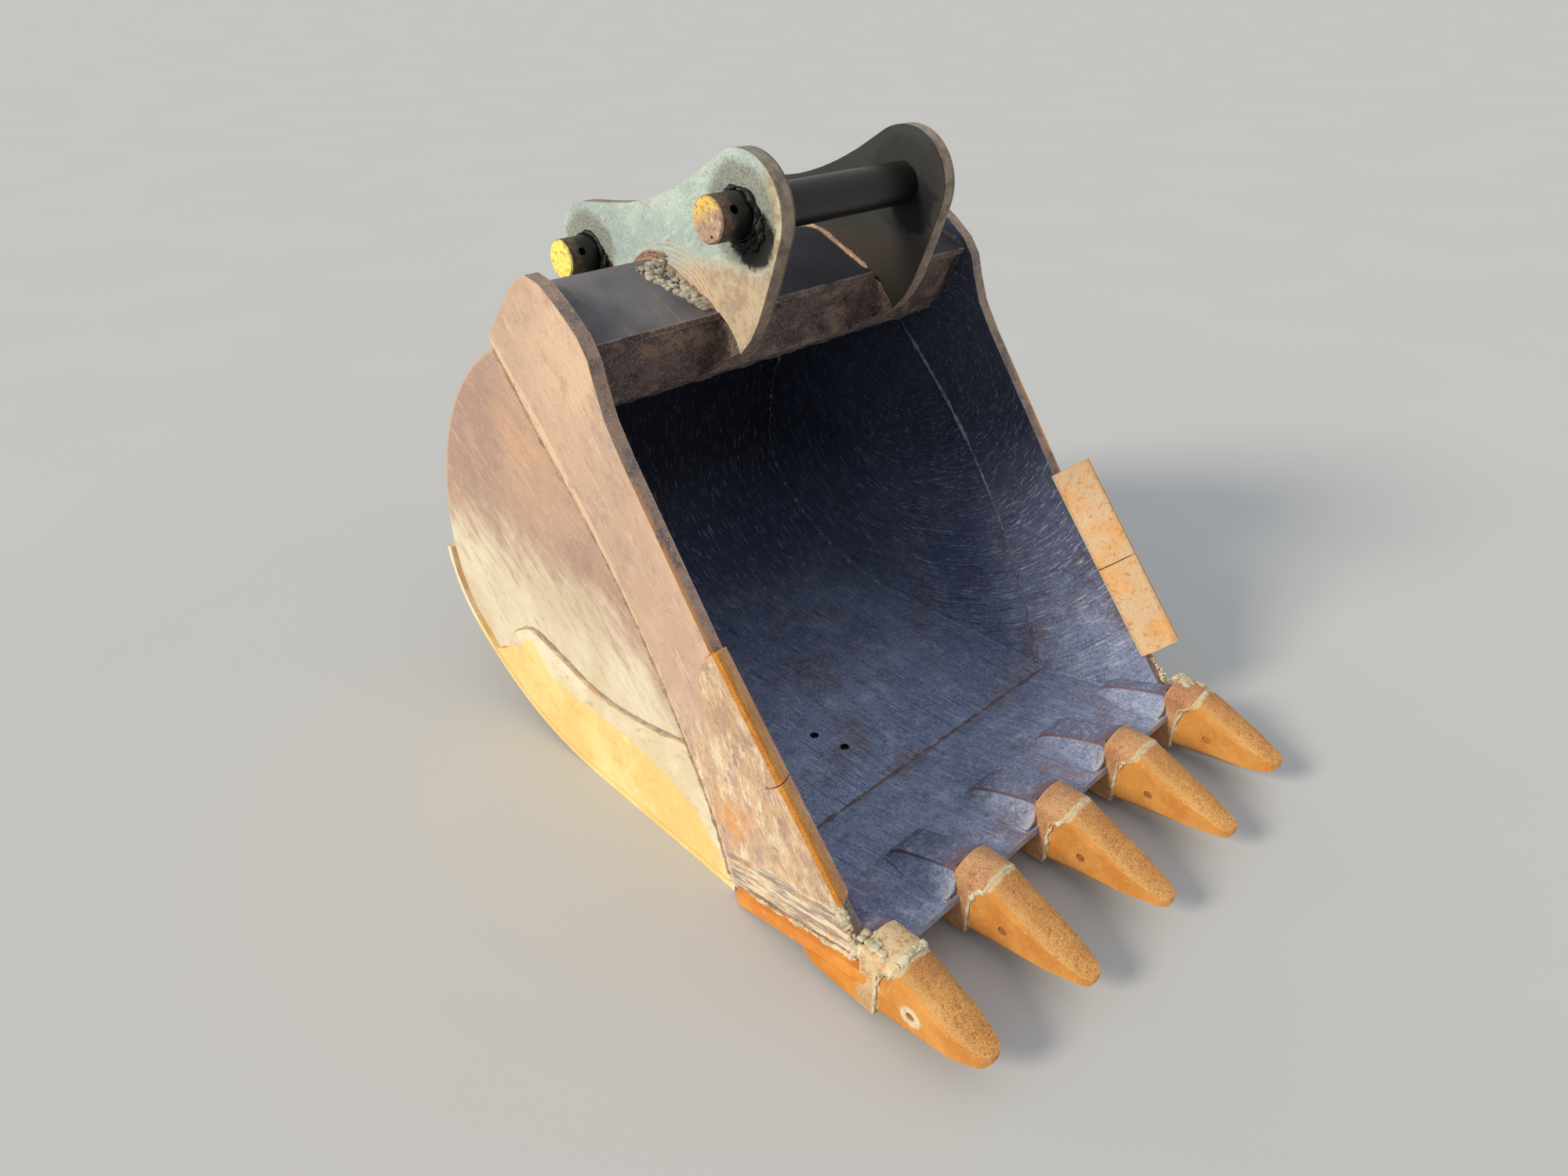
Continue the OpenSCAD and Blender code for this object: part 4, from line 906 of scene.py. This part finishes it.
def flank(x, s, seed):
    """The sloped shoulder from an adapter's leg to the cutting edge, and its foot's line; s = -1 or 1."""
    verts = []
    for f, h, w in FLANK_ROWS:
        slope = [(w * k / (DOWN - 1), h * (1 - k / (DOWN - 1)) ** 1.25) for k in range(DOWN)]
        for k, (dx, dz) in enumerate([(INTO_LEG, h)] + slope + [(w, INTO_LIP), (INTO_LEG, INTO_LIP)]):
            v = at(*on_lip(f, dz), x + s * (LEG_HALF + dx / 1000))
            if 0 < k < DOWN:
                v += noise.noise_vector(v * 30 + Vector((seed, 0, 0))) * UNEVEN
            verts.append(v)
    n = DOWN + 3
    faces = bands(len(FLANK_ROWS), n)
    faces += [tuple(range(n)), tuple((len(FLANK_ROWS) - 1) * n + k for k in range(n))]
    foot = [at(*on_lip(f, 1), x + s * (LEG_HALF + w / 1000)) for f, h, w in FLANK_ROWS]
    return (verts, faces), foot


def joint_y(z):
    """Where the joint between tooth and adapter lies at the height z: further back at the cheeks."""
    return JOINT_Y + JOINT_RUN * min(1.0, max(0.0, (JOINT_Z - z) / JOINT_RUN))


# round the joint from one cheek's foot over the top to the other's: x and Z in millimetres
RING = [(-51, 30), (-52, 60), (-52, 110), (-52, 150), (-47, 170), (-34, 182), (-16, 188), (0, 190), (16, 188),
        (34, 182), (47, 170), (52, 150), (52, 110), (52, 60), (51, 30)]
RING_TOP, RING_LEFT, RING_RIGHT = slice(3, 12), slice(0, 4), slice(11, None)
for i, x in enumerate(TEETH):
    sides = [s for s in (-1, 1) if (i, s) not in ((0, -1), (4, 1))]
    made = [flank(x, s, 11 * i + s) for s in sides]
    ob = piece("flanks_%d" % (i + 1), *gather([m[0] for m in made]), flank_mat, "inner_steel")
    soft = ob.modifiers.new("soft", "SUBSURF")
    soft.levels = soft.render_levels = 1
    rear = [at(*on_lip(207, 2), x + dx) for dx in (-0.04, 0.0, 0.04)]
    beads("weld_adapter_%d" % (i + 1), [m[1] for m in made] + [rear], 0.0036, flank_mat, "adapter",
          seed=81 + i, ripple=0.3, rough=0.5, wander=0.002)
    rim = [at(joint_y(z), z - 2.5, x + dx / 1000 * 0.985) for dx, z in RING]
    # the first tooth carries the most crust
    thick, count, size, spread = (0.0042, 90, 0.0042, 0.0035) if i else (0.0052, 180, 0.0055, 0.006)
    crust = [tube(rim[RING_TOP], thick, 91 + i, rough=0.8, wander=0.003, step=0.003),
             tube(rim[RING_LEFT], 0.003, 191 + i, rough=0.8, wander=0.002, step=0.003),
             tube(rim[RING_RIGHT], 0.003, 291 + i, rough=0.8, wander=0.002, step=0.003)]
    crust += crumbs(rim[RING_TOP], count, size, spread, 300 + 70 * i)
    piece("dirt_joint_%d" % (i + 1), *gather(crust), cream, "tooth")

# Mud beside the left ear
draw = random.Random(7)
parts = []
for k in range(260):
    t = draw.random()
    y = LEDGE[0] + 20 + 160 * t
    z = LEDGE[1] + (y - LEDGE[0]) * math.tan(BEAM_A)
    x = -0.26 - (0.022 + 0.055 * t) * draw.random() ** 1.4
    size = 0.0025 + 0.0095 * draw.random() ** 3
    parts.append(lump(at(y, z + draw.uniform(-1, 4), x), size, k, 0.7))
piece("mud_lumps", *gather(parts), mud, "beam")

# Grease round the pins: a ring, and arcs below it that get shorter outwards
GREASE_RING = 49
GREASE_ARCS = ((56, 78), (63, 58), (70, 36))        # radius in millimetres, half its angle in degrees
for name, c, low in (("arm", ARM, -128), ("link", LINK, -132)):
    paths, clods = [], []
    for x in (-GREASE_X, GREASE_X):
        paths.append(line(circle(c, GREASE_RING, 0, 360, 40), x))
        for r, spread in GREASE_ARCS:
            arc = line(circle(c, r, low - spread, low + spread, 24), x)
            paths.append(arc)
            clods += crumbs(arc, 14, 0.0095, 0.004, int(r) + (500 if x > 0 else 0))
    parts = [tube(p, 0.0062, len(name) * 7 + k, rough=0.55, wander=0.003, sides=7)
             for k, p in enumerate(paths)]
    piece("grease_" + name, *gather(parts + clods), grease, "pin")

# Dirt on the cutting edge's ends, at the bars' toes and on the outer collars, and between the cutters
HEAPS = ((22, 150, 0.6, 0.016), (6, 166, 0.592, 0.014), (30, 176, 0.59, 0.013), (44, 134, 0.602, 0.013),
         (-6, 178, 0.588, 0.01))                # the drawing's Y and Z, x, and the clod's size
COLLAR = ((-34, 180), (0, 188), (16, 188))      # along the top of an outer adapter's collar
for s, side in ((-1, "left"), (1, "right")):
    end = line([on_lip(f, 2) for f in range(44, 380, 24)], s * TOE_X)
    edge_dirt = [tube(end, 0.0034, 110 + s, rough=0.8, wander=0.003, step=0.003)]
    piece("dirt_toe_" + side, *gather(edge_dirt + crumbs(end, 60, 0.0036, 0.003, 111 + s)), cream, "side")
    toe = line([on_bar(540 + k, -3) for k in range(0, 96, 8)], s * HEAP_X)
    heap = [tube(toe, 0.007, 116 + s, rough=0.8, wander=0.004, step=0.003)]
    heap += crumbs(toe, 140, 0.006, 0.008, 115 + s)
    heap += [lump(at(y, z, s * x), size, 131 + k + s, 0.7, 3) for k, (y, z, x, size) in enumerate(HEAPS)]
    collar = resample(line(COLLAR, s * COLLAR_X), 0.006)
    spots = random.Random(160 + s)
    for k in range(26):
        p = spots.choice(collar)
        off = Vector((spots.uniform(-0.022, 0.022), spots.uniform(-0.02, 0.02), 0))
        heap.append(lump(p + off, spots.uniform(0.005, 0.011), 170 + k + s, 0.3, 2))
    piece("dirt_bar_" + side, *gather(heap), cream, "side")
    gap = line([on_bar(273.5, n) for n in (-30, 0, 40, 66)], s * GAP_X)
    piece("dirt_cutter_" + side, *gather(crumbs(gap, 40, 0.0032, 0.003, 190 + s)), cream, "cutter")

# black lumps in the drain holes: packed mud, and painted shade in the holes
mud_and_shade_plugs = [lump(at(y, 24, x), 0.0086, 5 + y, 0.9) for x, y in DRAINS]
piece("drain_mud_and_shade", *gather(mud_and_shade_plugs), grease, "inner_steel")


# Studio: a low warm sun from the left and a little behind, a pale sky and a plain floor
CAM_PLACE, CAM_ALONG = (-1.603, -1.4425, 1.759), (0.58685, 0.61668, -0.52471)
SUN_ALONG = (0.83, -0.2, -0.52)
FLOOR_SIZE, FLOOR_Z = 400, -0.0005
SKY, SKY_POWER, BEHIND = (0.82, 0.9, 1.0, 1), 0.8, (198, 196, 192)


def in_studio(name, data, along):
    """An object for a camera or a lamp that looks along a direction."""
    ob = bpy.data.objects.new(name, data)
    ob.rotation_euler = Vector(along).to_track_quat("-Z", "Y").to_euler()
    scene.collection.objects.link(ob)
    return ob


cam_data = bpy.data.cameras.new("camera")
cam_data.lens = 23.34
cam_data.sensor_width = 36
cam = in_studio("camera", cam_data, CAM_ALONG)
cam.location = CAM_PLACE
scene.camera = cam

sun_data = bpy.data.lights.new("key", "SUN")
sun_data.energy = 2.6
sun_data.angle = math.radians(16)
sun_data.color = (1.0, 0.93, 0.8)
in_studio("key", sun_data, SUN_ALONG)

bpy.ops.mesh.primitive_plane_add(size=FLOOR_SIZE, location=(0, 0, FLOOR_Z))
floor = bpy.context.object
floor.name = "floor"
fm = Mat("floor", rough=0.9, level=0.2)
floor.data.materials.append(fm.done(fm.mix(fm.noise(0.8, 3, 0.5), (186, 183, 178), (192, 189, 184))))

# the sky lights the part; a plainer grey is what shows behind it and in shiny steel
world = bpy.data.worlds.new("world")
scene.world = world
world.use_nodes = True
wt = world.node_tree
lit = wt.nodes["Background"]
lit.inputs[0].default_value = SKY
lit.inputs[1].default_value = SKY_POWER
seen = wt.nodes.new("ShaderNodeBackground")
seen.inputs[0].default_value = srgb(*BEHIND)
join = wt.links.new
path = wt.nodes.new("ShaderNodeLightPath")
mask = path.outputs["Is Camera Ray"]
for kind in ("Is Glossy Ray", "Is Transmission Ray"):
    most = wt.nodes.new("ShaderNodeMath")
    most.operation = "MAXIMUM"
    join(mask, most.inputs[0])
    join(path.outputs[kind], most.inputs[1])
    mask = most.outputs[0]
both = wt.nodes.new("ShaderNodeMixShader")
join(mask, both.inputs[0])
join(lit.outputs[0], both.inputs[1])
join(seen.outputs[0], both.inputs[2])
join(both.outputs[0], wt.nodes["World Output"].inputs["Surface"])

scene.view_settings.view_transform = "Standard"
